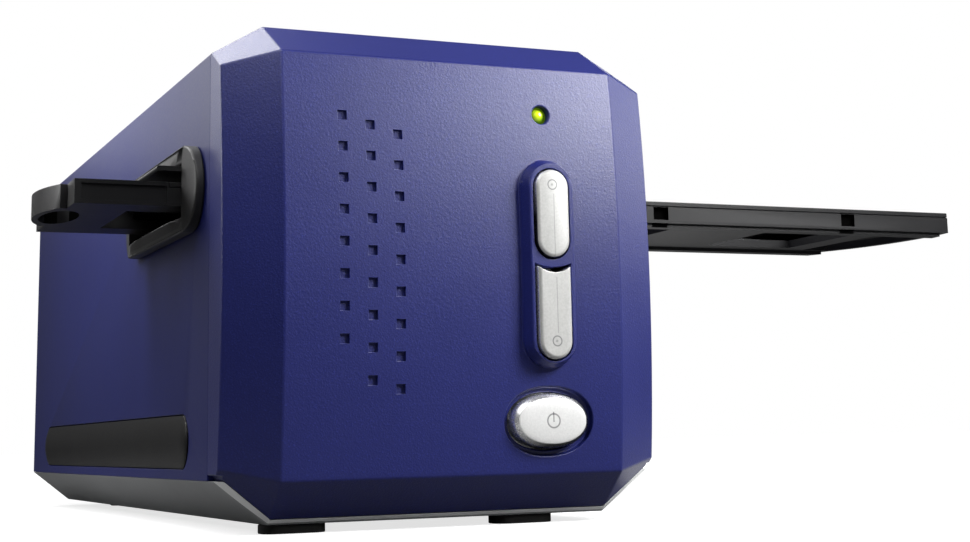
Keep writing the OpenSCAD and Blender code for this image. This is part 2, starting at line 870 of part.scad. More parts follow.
module base_tray() {
    color(grey)
    difference() {
        union() {
            difference() {
                intersection() {
                    housing(0);
                    box(-far, far, seam_y, far, 0, split_z);
                }
                housing(wall_t);
            }
            intersection() {
                difference() {
                    housing(0);
                    along_y(front_y - over, far)
                        section(rim_t);
                }
                box(-far, far, front_y - over, seam_y + over, 0, split_z);
            }
            for (s = [-1, 1])
                for (y = [screw_y0, screw_y1])
                    translate([s * screw_x, y, base_z + wall_t / 2])
                        cylinder(r = post_r, h = wall_t / 2 + post_h);
            for (y = [gate_y0, gate_y1 - gate_leg])
                intersection() {
                    both_sides(gate_x - gate_leg_t - 1, gate_x, y, y + gate_leg, base_z + rim_t,
                        split_z - run_gap);
                    housing(rim_t);
                }
        }
        for (s = [-1, 1])
            for (y = [screw_y0, screw_y1])
                translate([s * screw_x, y, 0]) {
                    cylinder(r = screw_r + shaft_gap, h = far / 8);
                    cylinder(r = screw_head_r + fit_gap,
                        h = base_z + screw_sunk + screw_head_h + fit_gap);
                }
    }
}

module main_cover() {
    color(blue)
    difference() {
        union() {
            difference() {
                intersection() {
                    housing(0);
                    box(-far, far, seam_y + fit_gap, far, split_z + fit_gap, far);
                }
                housing(wall_t);
            }
            cover_posts(screw_y0, post_front_h);
            cover_posts(screw_y1, post_rear_h);
            for (y = [board_y0 + board_peg, board_y1 - board_peg])
                for (z = [board_z0 + board_peg, board_z1 - board_peg])
                    translate([0, y, z])
                        rod_x_dir(peg_r, board_x + pcb_t + fit_gap, half_w - wall_t / 2);
        }
        for (s = [-1, 1]) {
            box(s * half_w - wall_t - over, s * half_w + wall_t + over,
                slot_y0 - sleeve_t - fit_gap, slot_y1 + sleeve_t + fit_gap,
                slot_z0 - sleeve_t - fit_gap, slot_z1 + sleeve_t + fit_gap);
            translate([0, (strip_y0 + strip_y1) / 2, strip_z])
                along_x(s > 0 ? half_w - strip_pocket : -half_w - over,
                    s > 0 ? half_w + over : strip_pocket - half_w)
                    stadium(strip_y1 - strip_y0 + 2 * strip_gap, strip_h + 2 * strip_gap);
            for (y = [screw_y0, screw_y1])
                translate([s * screw_x, y, 0])
                    cylinder(r = screw_r + shaft_gap, h = floor_z + screw_l + screw_head_h);
        }
        rear_opening(0, rear_y - wall_t - over, rear_y + over);
    }
}

// Screw posts of the cover with the webs that tie them to its walls
module cover_posts(y, h) {
    for (s = [-1, 1])
        translate([s * screw_x, y, floor_z + post_h + 2 * fit_gap])
            cylinder(r = post_r, h = h);
    both_sides(screw_x, half_w - wall_t / 2, y - wall_t / 2, y + wall_t / 2, split_z + fit_gap,
        floor_z + post_h + h - fit_gap);
}

// Outline of the rear opening, shrunk by t
module rear_opening(t, y0, y1) {
    box(-inner_x + opening_side + t, inner_x - opening_side + 1 - t, y0, y1,
        usb_z - opening_low + t, jack_z + opening_high - t);
}

module rear_panel() {
    lip_t = wall_t / 2 + socket_sunk;
    panel_y = rear_y - wall_t - fit_gap - lip_t;
    color(black)
    difference() {
        union() {
            rear_opening(fit_gap, panel_y + lip_t / 2, rear_y - 2 * socket_sunk);
            rear_opening(-panel_lip, panel_y, rear_y - wall_t - fit_gap);
        }
        translate([socket_x, 0, usb_z])
            along_y(panel_y - over, far)
                square([usb_w + 2 * socket_gap, usb_h + 2 * socket_gap], center = true);
        translate([socket_x, 0, jack_z])
            rod_y(jack_nose_r + socket_gap, panel_y - over, far);
        for (i = [0:vent_n - 1])
            box(vent_x + i * vent_step, vent_x + i * vent_step + vent_w, panel_y - over, far,
                jack_z - vent_l / 2 - opening_side + 1, jack_z + vent_l / 2 - opening_side + 1);
    }
}

module front_bezel() {
    color(blue)
    difference() {
        union() {
            difference() {
                intersection() {
                    housing(0);
                    along_y(front_y - over, seam_y)
                        section_low(rim_t + fit_gap);
                }
                housing(wall_t);
            }
            capsule_block();
            for (z = [power_z - board_peg_low, led_z - board_peg_top, led_z + board_peg_top])
                for (s = [-1, 1])
                    translate([btn_x + s * peg_off, 0, z])
                        rod_y(peg_r, bow_y(z) + wall_t / 2, btn_board_y - fit_gap);
        }
        along_y(front_y - 2 * over, seam_y)
            scan_up_2d(btn_gap);
        along_y(front_y - 2 * over, seam_y)
            scan_low_hole_2d();
        difference() {
            along_y(front_y - 2 * over, seam_y)
                power_2d(power_ring);
            translate([0, bow_cy, bow_mid])
                rod_x_dir(bow_r - power_recess, -half_w, half_w, $fn = 360);
        }
        along_y(front_y - 2 * over, seam_y)
            power_2d(btn_gap);
        translate([btn_x, 0, led_z])
            rod_y(led_hole_r, front_y - over, seam_y);
        for (c = [0:2])
            for (r = [0:(c > 0 ? dimple_n : dimple_n - 1)])
                dimple(dimple_x + c * dimple_step_x, dimple_z - c * dimple_drop - r * dimple_step_z);
    }
}

// Cross-section shrunk by t on the lower faces only
module section_low(t) {
    lv = base_z + low_corner_h + leg_v(low_corner_w, low_corner_h, t);
    lh = half_w - low_corner_w - leg_h(low_corner_w, low_corner_h, t);
    polygon([[half_w - t, lv], [half_w - t, split_z + t], [half_w + over, split_z + t],
        [half_w + over, body_h + over], [-half_w - over, body_h + over],
        [-half_w - over, split_z + t], [t - half_w, split_z + t], [t - half_w, lv],
        [-lh, base_z + t], [lh, base_z + t]]);
}

module dimple(x, z) {
    box(x - dimple_w / 2, x + dimple_w / 2, front_y - over, bow_y(z) + dimple_d,
        z - dimple_w / 2, z + dimple_w / 2);
}

// Guard for the right side; the left one is its mirror image
module slot_guard() {
    half_l = guard_len / 2;
    arch = guard_proud - guard_edge;
    arch_r = (half_l * half_l + arch * arch) / (2 * arch);
    fall_r = (guard_h * guard_h / 4 + guard_fall * guard_fall) / (2 * guard_fall);
    out_x = half_w + guard_proud;
    color(black)
    difference() {
        union() {
            intersection() {
                translate([0, guard_y, guard_z])
                    along_x(half_w + fit_gap, out_x + over)
                        stadium(guard_len, guard_h);
                translate([out_x - arch_r, guard_y, 0])
                    cylinder(r = arch_r, h = far / 2, $fn = 360);
                translate([out_x - fall_r, 0, guard_z])
                    rod_y(fall_r, guard_y - guard_len, guard_y + guard_len, $fn = 180);
            }
            box(inner_x - fit_gap, half_w + 1, slot_y0 - sleeve_t, slot_y1 + sleeve_t,
                slot_z0 - sleeve_t, slot_z1 + sleeve_t);
            for (y = [slot_y0 - sleeve_t, slot_y1])
                box(hinge_x - flap_r - run_gap, inner_x + 1, y, y + sleeve_t,
                    hinge_z - flap_r - sleeve_t, slot_z1 + sleeve_t);
        }
        box(inner_x - over, out_x + over, slot_y0, slot_y1, slot_z0, slot_z1);
        translate([hinge_x, 0, hinge_z])
            rod_y(flap_pin_r + shaft_gap, slot_y0 - sleeve_t - over, slot_y1 + sleeve_t + over);
    }
}

// Flap for the right side, swung fully out
module dust_flap() {
    color(black) {
        translate([hinge_x, 0, hinge_z])
            rod_y(flap_r, slot_y0 + run_gap, slot_y1 - run_gap);
        translate([hinge_x, 0, hinge_z])
            rod_y(flap_pin_r, slot_y0 - sleeve_t + fit_gap, slot_y1 + sleeve_t - fit_gap);
        box(hinge_x, hinge_x + flap_len - flap_t / 2, slot_y0 + 2 * run_gap,
            slot_y1 - 2 * run_gap, hinge_z - flap_t / 2, hinge_z + flap_t / 2);
        translate([hinge_x + flap_len - flap_t / 2, 0, hinge_z])
            rod_y(flap_t / 2, slot_y0 + 2 * run_gap, slot_y1 - 2 * run_gap);
    }
}

// Right flap, hanging down onto the holder
module right_flap() {
    translate([hinge_x, 0, hinge_z])
        rotate([0, flap_swing, 0])
            translate([-hinge_x, 0, -hinge_z])
                dust_flap();
}

module side_strip() {
    r = (strip_h * strip_h / 4 + strip_proud * strip_proud) / (2 * strip_proud);
    out_x = half_w + strip_proud;
    color(black)
    intersection() {
        translate([0, (strip_y0 + strip_y1) / 2, strip_z])
            along_x(half_w - strip_pocket + fit_gap, out_x + over)
                stadium(strip_y1 - strip_y0, strip_h);
        translate([out_x - r, 0, strip_z])
            rod_y(r, strip_y0 - over, strip_y1 + over, $fn = 180);
    }
}

module rubber_feet() {
    color(black)
    for (f = [[foot_xl, foot_y0 + foot_d / 2], [foot_xr, foot_y0 + foot_d / 2],
            [-foot_xb, foot_y1], [foot_xb, foot_y1]])
        box(f[0] - foot_w / 2, f[0] + foot_w / 2, f[1] - foot_d / 2, f[1] + foot_d / 2,
            0, base_z - fit_gap / 2);
}

module case_screws() {
    head_z = base_z + screw_sunk;
    cross_l = 2 * screw_head_r - 2;
    cross_d = screw_head_h / 2;
    color(steel)
    for (s = [-1, 1])
        for (y = [screw_y0, screw_y1])
            translate([s * screw_x, y, head_z]) {
                difference() {
                    cylinder(r = screw_head_r, h = screw_head_h);
                    box(-cross_l / 2, cross_l / 2, -cross_w / 2, cross_w / 2, -cross_d, cross_d);
                    box(-cross_w / 2, cross_w / 2, -cross_l / 2, cross_l / 2, -cross_d, cross_d);
                }
                translate([0, 0, screw_head_h - fit_gap])
                    cylinder(r = screw_r, h = screw_l);
            }
}

module status_lens() {
    tip = bow_y(led_z) + led_sunk;
    inside_y = bow_y(led_z + led_hole_r) + wall_t + 2 * fit_gap;
    color([0.5, 0.85, 0.15])
    translate([btn_x, 0, led_z]) {
        intersection() {
            translate([0, tip + led_dome_r, 0])
                sphere(r = led_dome_r);
            rod_y(led_lens_r, tip - 1, tip + led_dome_r);
        }
        rod_y(led_lens_r, tip + led_dome_r / 2, btn_board_y - led_h - fit_gap);
        rod_y(led_hole_r + lens_flange, inside_y, inside_y + sleeve_t);
    }
}

module status_led() {
    color([0.75, 0.85, 0.7])
    translate([btn_x, 0, led_z]) {
        rod_y(led_r, btn_board_y - led_h, btn_board_y - led_foot_t);
        rod_y(led_foot_r, btn_board_y - led_foot_t - fit_gap, btn_board_y - fit_gap);
    }
}

module button_board() {
    color(green)
    difference() {
        box(btn_x - btn_board_w / 2, btn_x + btn_board_w / 2, btn_board_y, btn_board_y + pcb_t,
            power_z - board_peg_low - peg_r - 1, led_z + board_peg_top + peg_r + 1);
        for (s = [-1, 1])
            translate([btn_x + s * (peg_off - 2), 0, capsule_z + capsule_len / 2])
                rod_y(hole_r, btn_board_y - 1, btn_board_y + pcb_t + 1);
    }
}

module push_switches() {
    color(black)
    for (z = [power_z, low_mid, up_mid])
        translate([btn_x, 0, z]) {
            box(-switch_w / 2, switch_w / 2, switch_y, btn_board_y - fit_gap, -switch_w / 2,
                switch_w / 2);
            rod_y(plunger_r, plunger_y, switch_y + 1);
        }
}

// Button with round ends and a bevelled face, lying along Z
module bevelled_stadium(z0, z1, y1) {
    r = scan_w / 2;
    f = r - scan_bevel;
    yb = scan_y + scan_bevel;
    translate([btn_x, 0, 0]) {
        for (z = [z0 + r, z1 - r])
            translate([0, y1, z])
                rotate([90, 0, 0])
                    rotate_extrude()
                        polygon([[0, 0], [r, 0], [r, y1 - yb], [f, y1 - scan_y], [0, y1 - scan_y]]);
        translate([0, 0, z0 + r])
            linear_extrude(height = z1 - z0 - 2 * r)
                polygon([[-r, y1], [r, y1], [r, yb], [f, scan_y], [-f, scan_y], [-r, yb]]);
    }
}

module scan_button_upper() {
    color(silver) {
        bevelled_stadium(scan_up_z0, scan_up_z1, lip_y + btn_lip_t);
        along_y(lip_y, lip_y + btn_lip_t)
            scan_up_2d(btn_lip);
        translate([btn_x, 0, up_mid])
            rod_y(stem_r, lip_y + btn_lip_t / 2, stem_y);
    }
}

module scan_button_lower() {
    color(silver) {
        difference() {
            bevelled_stadium(scan_low_z0, scan_low_top + scan_w, lip_y + btn_lip_t);
            translate([btn_x, 0, arc_z])
                rod_y(scan_arc_r, scan_y - over, seam_y, $fn = 120);
            box(btn_x - scan_w, btn_x + scan_w, scan_y - over, seam_y, scan_low_top,
                scan_low_top + 2 * scan_w);
        }
        along_y(lip_y, lip_y + btn_lip_t)
            translate([btn_x, (scan_low_z0 + web_z) / 2])
                rotate(90)
                    stadium(web_z - scan_low_z0 + 2 * btn_lip, scan_w + 2 * btn_lip);
        translate([btn_x, 0, low_mid])
            rod_y(stem_r, lip_y + btn_lip_t / 2, stem_y);
    }
}

module power_button() {
    color(silver) {
        along_y(power_y + power_inset, power_lip_y + btn_lip_t)
            power_2d(0);
        along_y(power_y, power_y + power_inset + fit_gap)
            power_2d(-power_inset);
        along_y(power_lip_y, power_lip_y + btn_lip_t)
            power_2d(btn_lip + btn_gap);
        translate([btn_x, 0, power_z])
            rod_y(stem_r, power_lip_y + btn_lip_t / 2, stem_y);
    }
}

module film_gate() {
    color(black)
    difference() {
        union() {
            box(-gate_x, gate_x, gate_y0, gate_y1, gate_bed_z - gate_bed_t, gate_bed_z);
            for (y = [gate_y0, gate_y1 - gate_wall])
                box(-gate_x, gate_x, y, y + gate_wall, gate_bed_z - 1, gate_top);
            for (y = [gate_y0, gate_y1 - gate_leg])
                both_sides(gate_x - gate_leg_t, gate_x, y, y + gate_leg, split_z, gate_bed_z - 1);
        }
        light_window();
        box(detent_x - detent_half - run_gap, detent_x + detent_half + run_gap, detent_y,
            gate_y0 + gate_wall + 1, gate_bed_z + run_gap, far);
    }
}

// Opening that the light passes through above and below the slide
module light_window() {
    box(axis_x - light_half, axis_x + light_half, line_y - scan_travel - light_end,
        line_y + light_end, 0, far);
}

module gate_cover() {
    color(black)
    difference() {
        box(-gate_x, gate_x, gate_y0, gate_y1, gate_top + fit_gap, gate_top + fit_gap + gate_cover_t);
        light_window();
    }
}

module detent_spring() {
    y0 = detent_y + fit_gap;
    y1 = y0 + detent_t;
    x = detent_half;
    nib = 2;
    color(steel)
    translate([detent_x, 0, 0])
        along_z(gate_bed_z + 3 * run_gap, gate_top - run_gap)
            polygon([[-x, y0], [x, y0], [x, y1], [nib, y1], [0, y1 + detent_nib], [-nib, y1], [-x, y1]]);
}

module along_z(z0, z1) {
    translate([0, 0, z0])
        linear_extrude(height = z1 - z0)
            children();
}

// Upright plate with two rod seats, open in the middle down to mid_z
module rod_bracket(y0, mid_z) {
    foot = bracket_half - bracket_cut;
    top = rod_z + bracket_rim;
    gap_x = sled_half + 1;
    color(steel)
    difference() {
        along_y(y0, y0 + bracket_t)
            polygon([[-foot, floor_z + fit_gap], [foot, floor_z + fit_gap],
                [bracket_half, floor_z + bracket_cut], [bracket_half, top], [gap_x, top],
                [gap_x, mid_z], [-gap_x, mid_z], [-gap_x, top], [-bracket_half, top],
                [-bracket_half, floor_z + bracket_cut]]);
        for (s = [-1, 1])
            translate([s * rod_x, 0, rod_z])
                rod_y(rod_r + shaft_gap, y0 - 1, y0 + bracket_t + 1);
        translate([lead_x, 0, lead_z])
            rod_y(lead_r + 2 * run_gap, y0 - 1, y0 + bracket_t + 1);
    }
}

module front_rod_bracket() {
    rod_bracket(bracket_y0, lead_z - bracket_low);
}

module rear_rod_bracket() {
    rod_bracket(bracket_y1, rod_z + bracket_rim - fit_gap);
}

module guide_rod(s) {
    color(steel)
    translate([s * rod_x, 0, rod_z])
        rod_y(rod_r, bracket_y0 + rod_sunk, bracket_y1 + bracket_t - rod_sunk);
}

module carriage_sled() {
    sensor_rear = sensor_y + sensor_t + pcb_t;
    seat_l = bush_l / 2 + bush_wall;
    color(black)
    difference() {
        union() {
            box(-sled_half, sled_half, sled_y0, sled_y1, sled_z, sled_z + sled_t);
            both_sides(sled_half - sled_wall, sled_half, sled_y0, sled_y1, sled_z, sled_z + sled_wall_h);
            for (y = [bush_y0, bush_y1]) {
                for (s = [-1, 1])
                    translate([s * rod_x, 0, rod_z])
                        rod_y(bush_r + bush_wall, y - seat_l, y + seat_l);
                both_sides(sled_half - 1, rod_x, y - seat_l, y + seat_l, sled_z, rod_z + bush_r);
            }
            for (s = [-1, 1])
                mirror_wedge(axis_x + s * (mirror_w / 2 - wedge_t));
            box(axis_x - lens_r - wedge_t, axis_x + lens_r + wedge_t, lens_y0 + wedge_t,
                lens_y0 + lens_l - wedge_t, sled_z, axis_z - wedge_t);
            box(flag_x, flag_x + flag_t, sled_y1 - over, bracket_y1 - wedge_t, rod_z - flag_h, sled_z + 1);
            for (s = [-1, 1])
                box(axis_x + s * sensor_post - wedge_t / 2, axis_x + s * sensor_post + wedge_t / 2,
                    sensor_rear + run_gap, sensor_rear + wedge_t, sled_z, axis_z + sensor_board_up);
        }
        translate([axis_x, 0, axis_z])
            rod_y(lens_r + fit_gap, lens_y0, lens_y0 + lens_l);
        for (s = [-1, 1])
            for (y = [bush_y0, bush_y1])
                translate([s * rod_x, 0, rod_z])
                    rod_y(bush_r + fit_gap, y - seat_l - 1, y + seat_l + 1);
    }
}

// Ramp that carries the mirror at 45 degrees
module mirror_wedge(x) {
    c = mirror_l / 2 / sqrt(2);
    o = (mirror_t + fit_gap) * sqrt(2);
    along_x(x - wedge_t / 2, x + wedge_t / 2)
        polygon([[line_y - c - o, sled_z + 1], [line_y + c - o - fit_gap, sled_z + 1],
            [line_y + c - o, axis_z - c], [line_y - c - o, axis_z + c]]);
}

module mirror_plate() {
    color([0.8, 0.83, 0.86])
    translate([axis_x, line_y, axis_z])
        rotate([-45, 0, 0])
            box(-mirror_w / 2, mirror_w / 2, -mirror_l / 2, mirror_l / 2, -mirror_t, 0);
}

module carriage_bushes() {
    color([0.72, 0.6, 0.35])
    for (s = [-1, 1])
        for (y = [bush_y0, bush_y1])
            translate([s * rod_x, 0, rod_z])
                difference() {
                    rod_y(bush_r, y - bush_l / 2, y + bush_l / 2);
                    rod_y(rod_r + shaft_gap, y - bush_l, y + bush_l);
                }
}

module carriage_arm() {
    beam_y0 = line_y - beam_front;
    hole = lens_r + 2;
    color(black)
    difference() {
        union() {
            box(axis_x - arm_half, axis_x + arm_half, arm_y0, arm_y0 + arm_t,
                sled_z + sled_t + fit_gap, arm_z1);
            box(axis_x - arm_half, axis_x + arm_half, beam_y0, arm_y0 + 1, arm_z1 - beam_t, arm_z1);
            for (x = [axis_x - arm_half, axis_x + arm_half - sled_wall])
                box(x, x + sled_wall, beam_y0, arm_y0 + 1, arm_z1 - beam_rib, arm_z1);
        }
        box(axis_x - hole, axis_x + hole, arm_y0 - 1, arm_y0 + arm_t + 1, axis_z - lens_r,
            axis_z + lens_r + 1);
    }
}

module lamp_housing() {
    z0 = lamp_z0();
    z1 = arm_z1 - beam_t - fit_gap;
    in_x = lamp_half - lamp_wall;
    in_y = lamp_w - lamp_wall;
    color(black)
    difference() {
        box(axis_x - lamp_half, axis_x + lamp_half, line_y - lamp_w, line_y + lamp_w, z0, z1);
        box(axis_x - in_x, axis_x + in_x, line_y - in_y, line_y + in_y, z0 - 1, z1 - lamp_wall);
    }
}

function lamp_z0() = gate_top + lamp_gap + run_gap;

module lamp_tube() {
    half = lamp_half - lamp_wall - fit_gap;
    color([0.95, 0.95, 0.92])
    translate([axis_x, line_y, gate_top + tube_h]) {
        rod_x_dir(tube_r, -half, half);
        for (x = [-half, half - tube_cap_l])
            rod_x_dir(tube_cap_r, x + fit_gap, x + tube_cap_l - fit_gap);
    }
}

module lamp_diffuser() {
    half_l = lamp_half - lamp_wall - fit_gap;
    half_d = lamp_w - lamp_wall - fit_gap;
    z0 = lamp_z0() + fit_gap;
    color([0.95, 0.95, 0.95, 0.6])
    box(axis_x - half_l, axis_x + half_l, line_y - half_d, line_y + half_d, z0, z0 + diffuser_t);
}

module lens_barrel() {
    seat = glass_r + fit_gap;
    color(black)
    translate([axis_x, 0, axis_z])
        difference() {
            union() {
                rod_y(lens_r, lens_y0 + fit_gap, lens_y0 + lens_l - fit_gap);
                rod_y(lens_r - 1, lens_y0 - lens_nose, lens_y0 + 1);
            }
            rod_y(seat, lens_y0 - lens_nose - 1, lens_y0 + front_glass_t);
            rod_y(glass_r - glass_sag, lens_y0, lens_y0 + lens_l);
            rod_y(seat, lens_y0 + lens_l - rear_glass_t - 1, lens_y0 + lens_l + 1);
        }
}

// Lens glass with one domed face; s is the way it bulges
module lens_glass(y0, y1, s) {
    r = (glass_r * glass_r + glass_sag * glass_sag) / (2 * glass_sag);
    color([0.7, 0.8, 0.95, 0.5])
    translate([axis_x, 0, axis_z])
        intersection() {
            rod_y(glass_r, y0, y1);
            translate([0, s > 0 ? y1 - r : y0 + r, 0])
                sphere(r = r, $fn = 120);
        }
}

module front_lens() {
    lens_glass(lens_y0 - lens_nose + glass_sag / 3, lens_y0 + front_glass_t - fit_gap, -1);
}

module rear_lens() {
    lens_glass(lens_y0 + lens_l - rear_glass_t - 1 + fit_gap, lens_y0 + lens_l - 1, 1);
}

module sensor_board() {
    y = sensor_y + sensor_t + fit_gap;
    color(green)
    difference() {
        box(axis_x - sensor_board_half, sled_half - sled_wall - fit_gap, y, y + pcb_t,
            sled_z + sled_t + run_gap, axis_z + sensor_board_up + 1);
        for (s = [-1, 1])
            translate([axis_x + s * (sensor_post + 1), 0, axis_z + sensor_h + 1])
                rod_y(hole_r, y - 1, y + pcb_t + 1);
    }
}

module image_sensor() {
    half = sensor_w / 2;
    color([0.25, 0.22, 0.3])
    difference() {
        box(axis_x - half, axis_x + half, sensor_y, sensor_y + sensor_t, axis_z - sensor_h / 2,
            axis_z + sensor_h / 2);
        box(axis_x - half + 2, axis_x + half - 2, sensor_y - 1, sensor_y + sensor_t / 5,
            axis_z - sensor_h / 6, axis_z + sensor_h / 6);
    }
}

module lead_screw() {
    color(steel)
    translate([lead_x, 0, lead_z])
        rod_y(lead_r, bearing_y - 2, bracket_y1 + bracket_t + bearing_l);
}

// Block on the lead screw, bored through
module screw_block(y0, y1, z0, z1) {
    difference() {
        box(lead_x - nut_w / 2, lead_x + nut_w / 2, y0, y1, z0, z1);
        translate([lead_x, 0, lead_z])
            rod_y(lead_r + shaft_gap, y0 - 1, y1 + 1);
    }
}

module drive_nut() {
    color([0.85, 0.83, 0.75])
    screw_block(nut_y - nut_l / 2, nut_y + nut_l / 2, lead_z - nut_w / 2, sled_z - fit_gap);
}

module screw_bearing() {
    color(black)
    screw_block(bearing_y, bearing_y + bearing_l, floor_z + fit_gap, sled_z - run_gap);
}

module stepper_motor() {
    y0 = bracket_y1 + bracket_t + fit_gap;
    color(steel)
    translate([lead_x, 0, lead_z])
        difference() {
            union() {
                rod_y(motor_r, y0, y0 + motor_l);
                rod_y(motor_r / 3, y0 + motor_l - 1, y0 + motor_l + motor_boss);
                box(-motor_r - motor_ear, motor_r + motor_ear, y0, y0 + ear_t, -motor_ear,
                    motor_ear);
            }
            rod_y(lead_r + shaft_gap, y0 - 1, y0 + bearing_l + 2);
        }
}

// Part on the main board's inner face; the numbers count from the board's lower front corner
module board_chip(y, z, w, h, t) {
    box(board_x - t, board_x + pcb_t / 8, board_y0 + y, board_y0 + y + w, board_z0 + z,
        board_z0 + z + h);
}

module main_board() {
    color(green) {
        difference() {
            box(board_x, board_x + pcb_t, board_y0, board_y1, board_z0, board_z1);
            translate([0, board_y0 + 2 * board_peg, board_z1 - board_peg])
                rod_x_dir(hole_r, board_x - 1, board_x + pcb_t + 1);
        }
        board_chip(chip_y, chip_z, chip_w, chip_w, chip_t);
        board_chip(chip_y + 1.5 * chip_w, chip_z + chip_w / 3, chip_w / 2, chip_w / 2, chip_t);
        board_chip(plug_y, chip_z / 2, plug_w, plug_l, chip_t);
        for (i = [0, 1])
            translate([0, board_y0 + can_y + i * 3 * can_r, board_z0 + can_z])
                rod_x_dir(can_r, board_x - can_l, board_x + pcb_t / 8);
    }
}

module usb_socket() {
    color(steel)
    translate([socket_x, 0, usb_z])
        difference() {
            along_y(socket_y - usb_l, socket_y)
                square([usb_w, usb_h], center = true);
            difference() {
                along_y(socket_y - usb_mouth_d, socket_y + 1)
                    square([usb_mouth_w, usb_mouth_h], center = true);
                along_y(socket_y - usb_mouth_d - 1, socket_y - tongue_sunk)
                    square([usb_tongue_w, usb_tongue_h], center = true);
            }
        }
}

module power_jack() {
    color(black)
    translate([socket_x, 0, jack_z])
        difference() {
            union() {
                along_y(socket_y - jack_l, socket_y - jack_nose)
                    square([jack_w, jack_w], center = true);
                box(0, board_x - fit_gap - socket_x, socket_y - jack_l, socket_y - jack_nose,
                    -jack_w / 2, jack_w / 2);
                rod_y(jack_nose_r, socket_y - jack_nose - 1, socket_y);
            }
            difference() {
                rod_y(jack_r, socket_y - jack_d, socket_y + 1);
                rod_y(jack_pin_r, socket_y - jack_d - 1, socket_y - 1);
            }
        }
}

module lamp_inverter() {
    x1 = inverter_x + pcb_t;
    zm = inverter_z + inverter_h / 2;
    color(green) {
        box(inverter_x, x1, inverter_y0, inverter_y1, inverter_z, inverter_z + inverter_h);
        box(x1 - fit_gap, x1 + coil_t, inverter_y0 + coil_y, inverter_y0 + coil_y + coil_l,
            zm - coil_t, zm + coil_t);
        translate([0, inverter_y0 + 2 * coil_l + over, zm])
            rod_x_dir(can_r, x1 - fit_gap, x1 + coil_t - 1);
        for (y = [inverter_y0 + over, inverter_y1 - over])
            translate([0, y, zm])
                rod_x_dir(peg_r, fit_gap - inner_x, inverter_x + fit_gap);
    }
}

module home_sensor() {
    y = bracket_y1 - fit_gap;
    x0 = flag_x + flag_t / 2 - fork_w / 2;
    color(black)
    difference() {
        box(x0, x0 + fork_w, y - fork_l, y, rod_z - fork_z, rod_z - fork_z + fork_h);
        box(x0 + fork_w / 2 - fork_slot / 2, x0 + fork_w / 2 + fork_slot / 2, y - fork_l - 1,
            y - fork_slot / 2, rod_z - fork_z + fork_slot, rod_z);
    }
}

// Outline of the grip, drawn as X and Y
module grip_2d() {
    intersection() {
        translate([holder_x0 - grip_out + grip_r, holder_y - grip_off])
            circle(r = grip_r, $fn = 180);
        translate([holder_x0 - 2 * grip_out, holder_y - grip_off - grip_w / 2])
            square([2 * grip_out + over, grip_w]);
    }
}

// What lies outside the rounded right end of the holder, shrunk by t
module end_cut(t) {
    difference() {
        box(holder_x1 - over - 2 * holder_d, holder_x1 + over, holder_y0 - over, holder_y1 + over,
            0, far);
        translate([holder_x1 - end_r, holder_y - end_off, -1])
            cylinder(r = end_r - t, h = far + 2, $fn = 360);
    }
}

module holder_window(x) {
    box(x - window_l / 2, x + window_l / 2, holder_y - window_w / 2, holder_y + window_w / 2,
        0, holder_top + 1);
}

module holder_frame() {
    side_z0 = frame_z + side_edge;
    color(black)
    difference() {
        union() {
            box(holder_x0, holder_x1, holder_y0, holder_y1, frame_z, plate_z);
            box(holder_x0, block_x1, holder_y0, holder_y1, frame_z, holder_top);
            difference() {
                for (y = [holder_y0 + 1, holder_y1 - rail_w - 1])
                    box(block_x1 + over, holder_x1, y, y + rail_w, holder_z, frame_z + 1);
                end_cut(rail_back);
            }
            along_z(frame_z, holder_top)
                grip_2d();
        }
        end_cut(0);
        translate([holder_x0 + grip_hole_x, holder_y - grip_off, 0])
            rotate(90)
                along_z(holder_z - 1, holder_top + 1)
                    oval(grip_hole_a, grip_hole_b);
        for (i = [0:bay_n - 1]) {
            x = bay_x - i * bay_step;
            holder_window(x);
            box(max(x - seat_half, block_x1 + 1), x + seat_half, holder_y - seat_w / 2,
                holder_y + seat_w / 2, plate_z - seat_t, holder_top + 1);
            box(x + notch_off - notch_w / 2, x + notch_off + notch_w / 2, holder_y0 - 1,
                holder_y0 + notch_d, side_z0, plate_z - fit_gap);
        }
        difference() {
            box(bay_x + window_l / 2 + end_room, holder_x1, holder_y0 + end_rim,
                holder_y1 - end_rim, 0, frame_z + frame_t / 2);
            end_cut(end_wall);
        }
        box(holder_x0 + inset_edge, block_x1 - run_gap, holder_y0 - 1, holder_y0 + inset_d,
            side_z0, plate_z + run_gap);
    }
}

module holder_top_plate() {
    color(black)
    difference() {
        box(block_x1 + fit_gap, holder_x1, holder_y0, holder_y1, plate_z + fit_gap, holder_top);
        end_cut(0);
        for (i = [0:bay_n - 1]) {
            x = bay_x - i * bay_step;
            holder_window(x);
            for (s = [-1, 1])
                box(spring_x0(x) - spring_gap, x + spring_half + spring_gap,
                    holder_y + s * spring_off - spring_w / 2 - spring_gap,
                    holder_y + s * spring_off + spring_w / 2 + spring_gap, 0, far);
        }
    }
}

// Left end of the springs of the bay whose window is centred at x
function spring_x0(x) = max(x - spring_half, block_x1 + 1 + fit_gap);

module slide_springs() {
    z0 = plate_z - seat_t + fit_gap;
    color(steel)
    for (i = [0:bay_n - 1])
        for (s = [-1, 1]) {
            x = bay_x - i * bay_step;
            y = holder_y + s * spring_off;
            box(spring_x0(x), x + spring_half, y - spring_w / 2, y + spring_w / 2, z0, z0 + spring_t);
        }
}

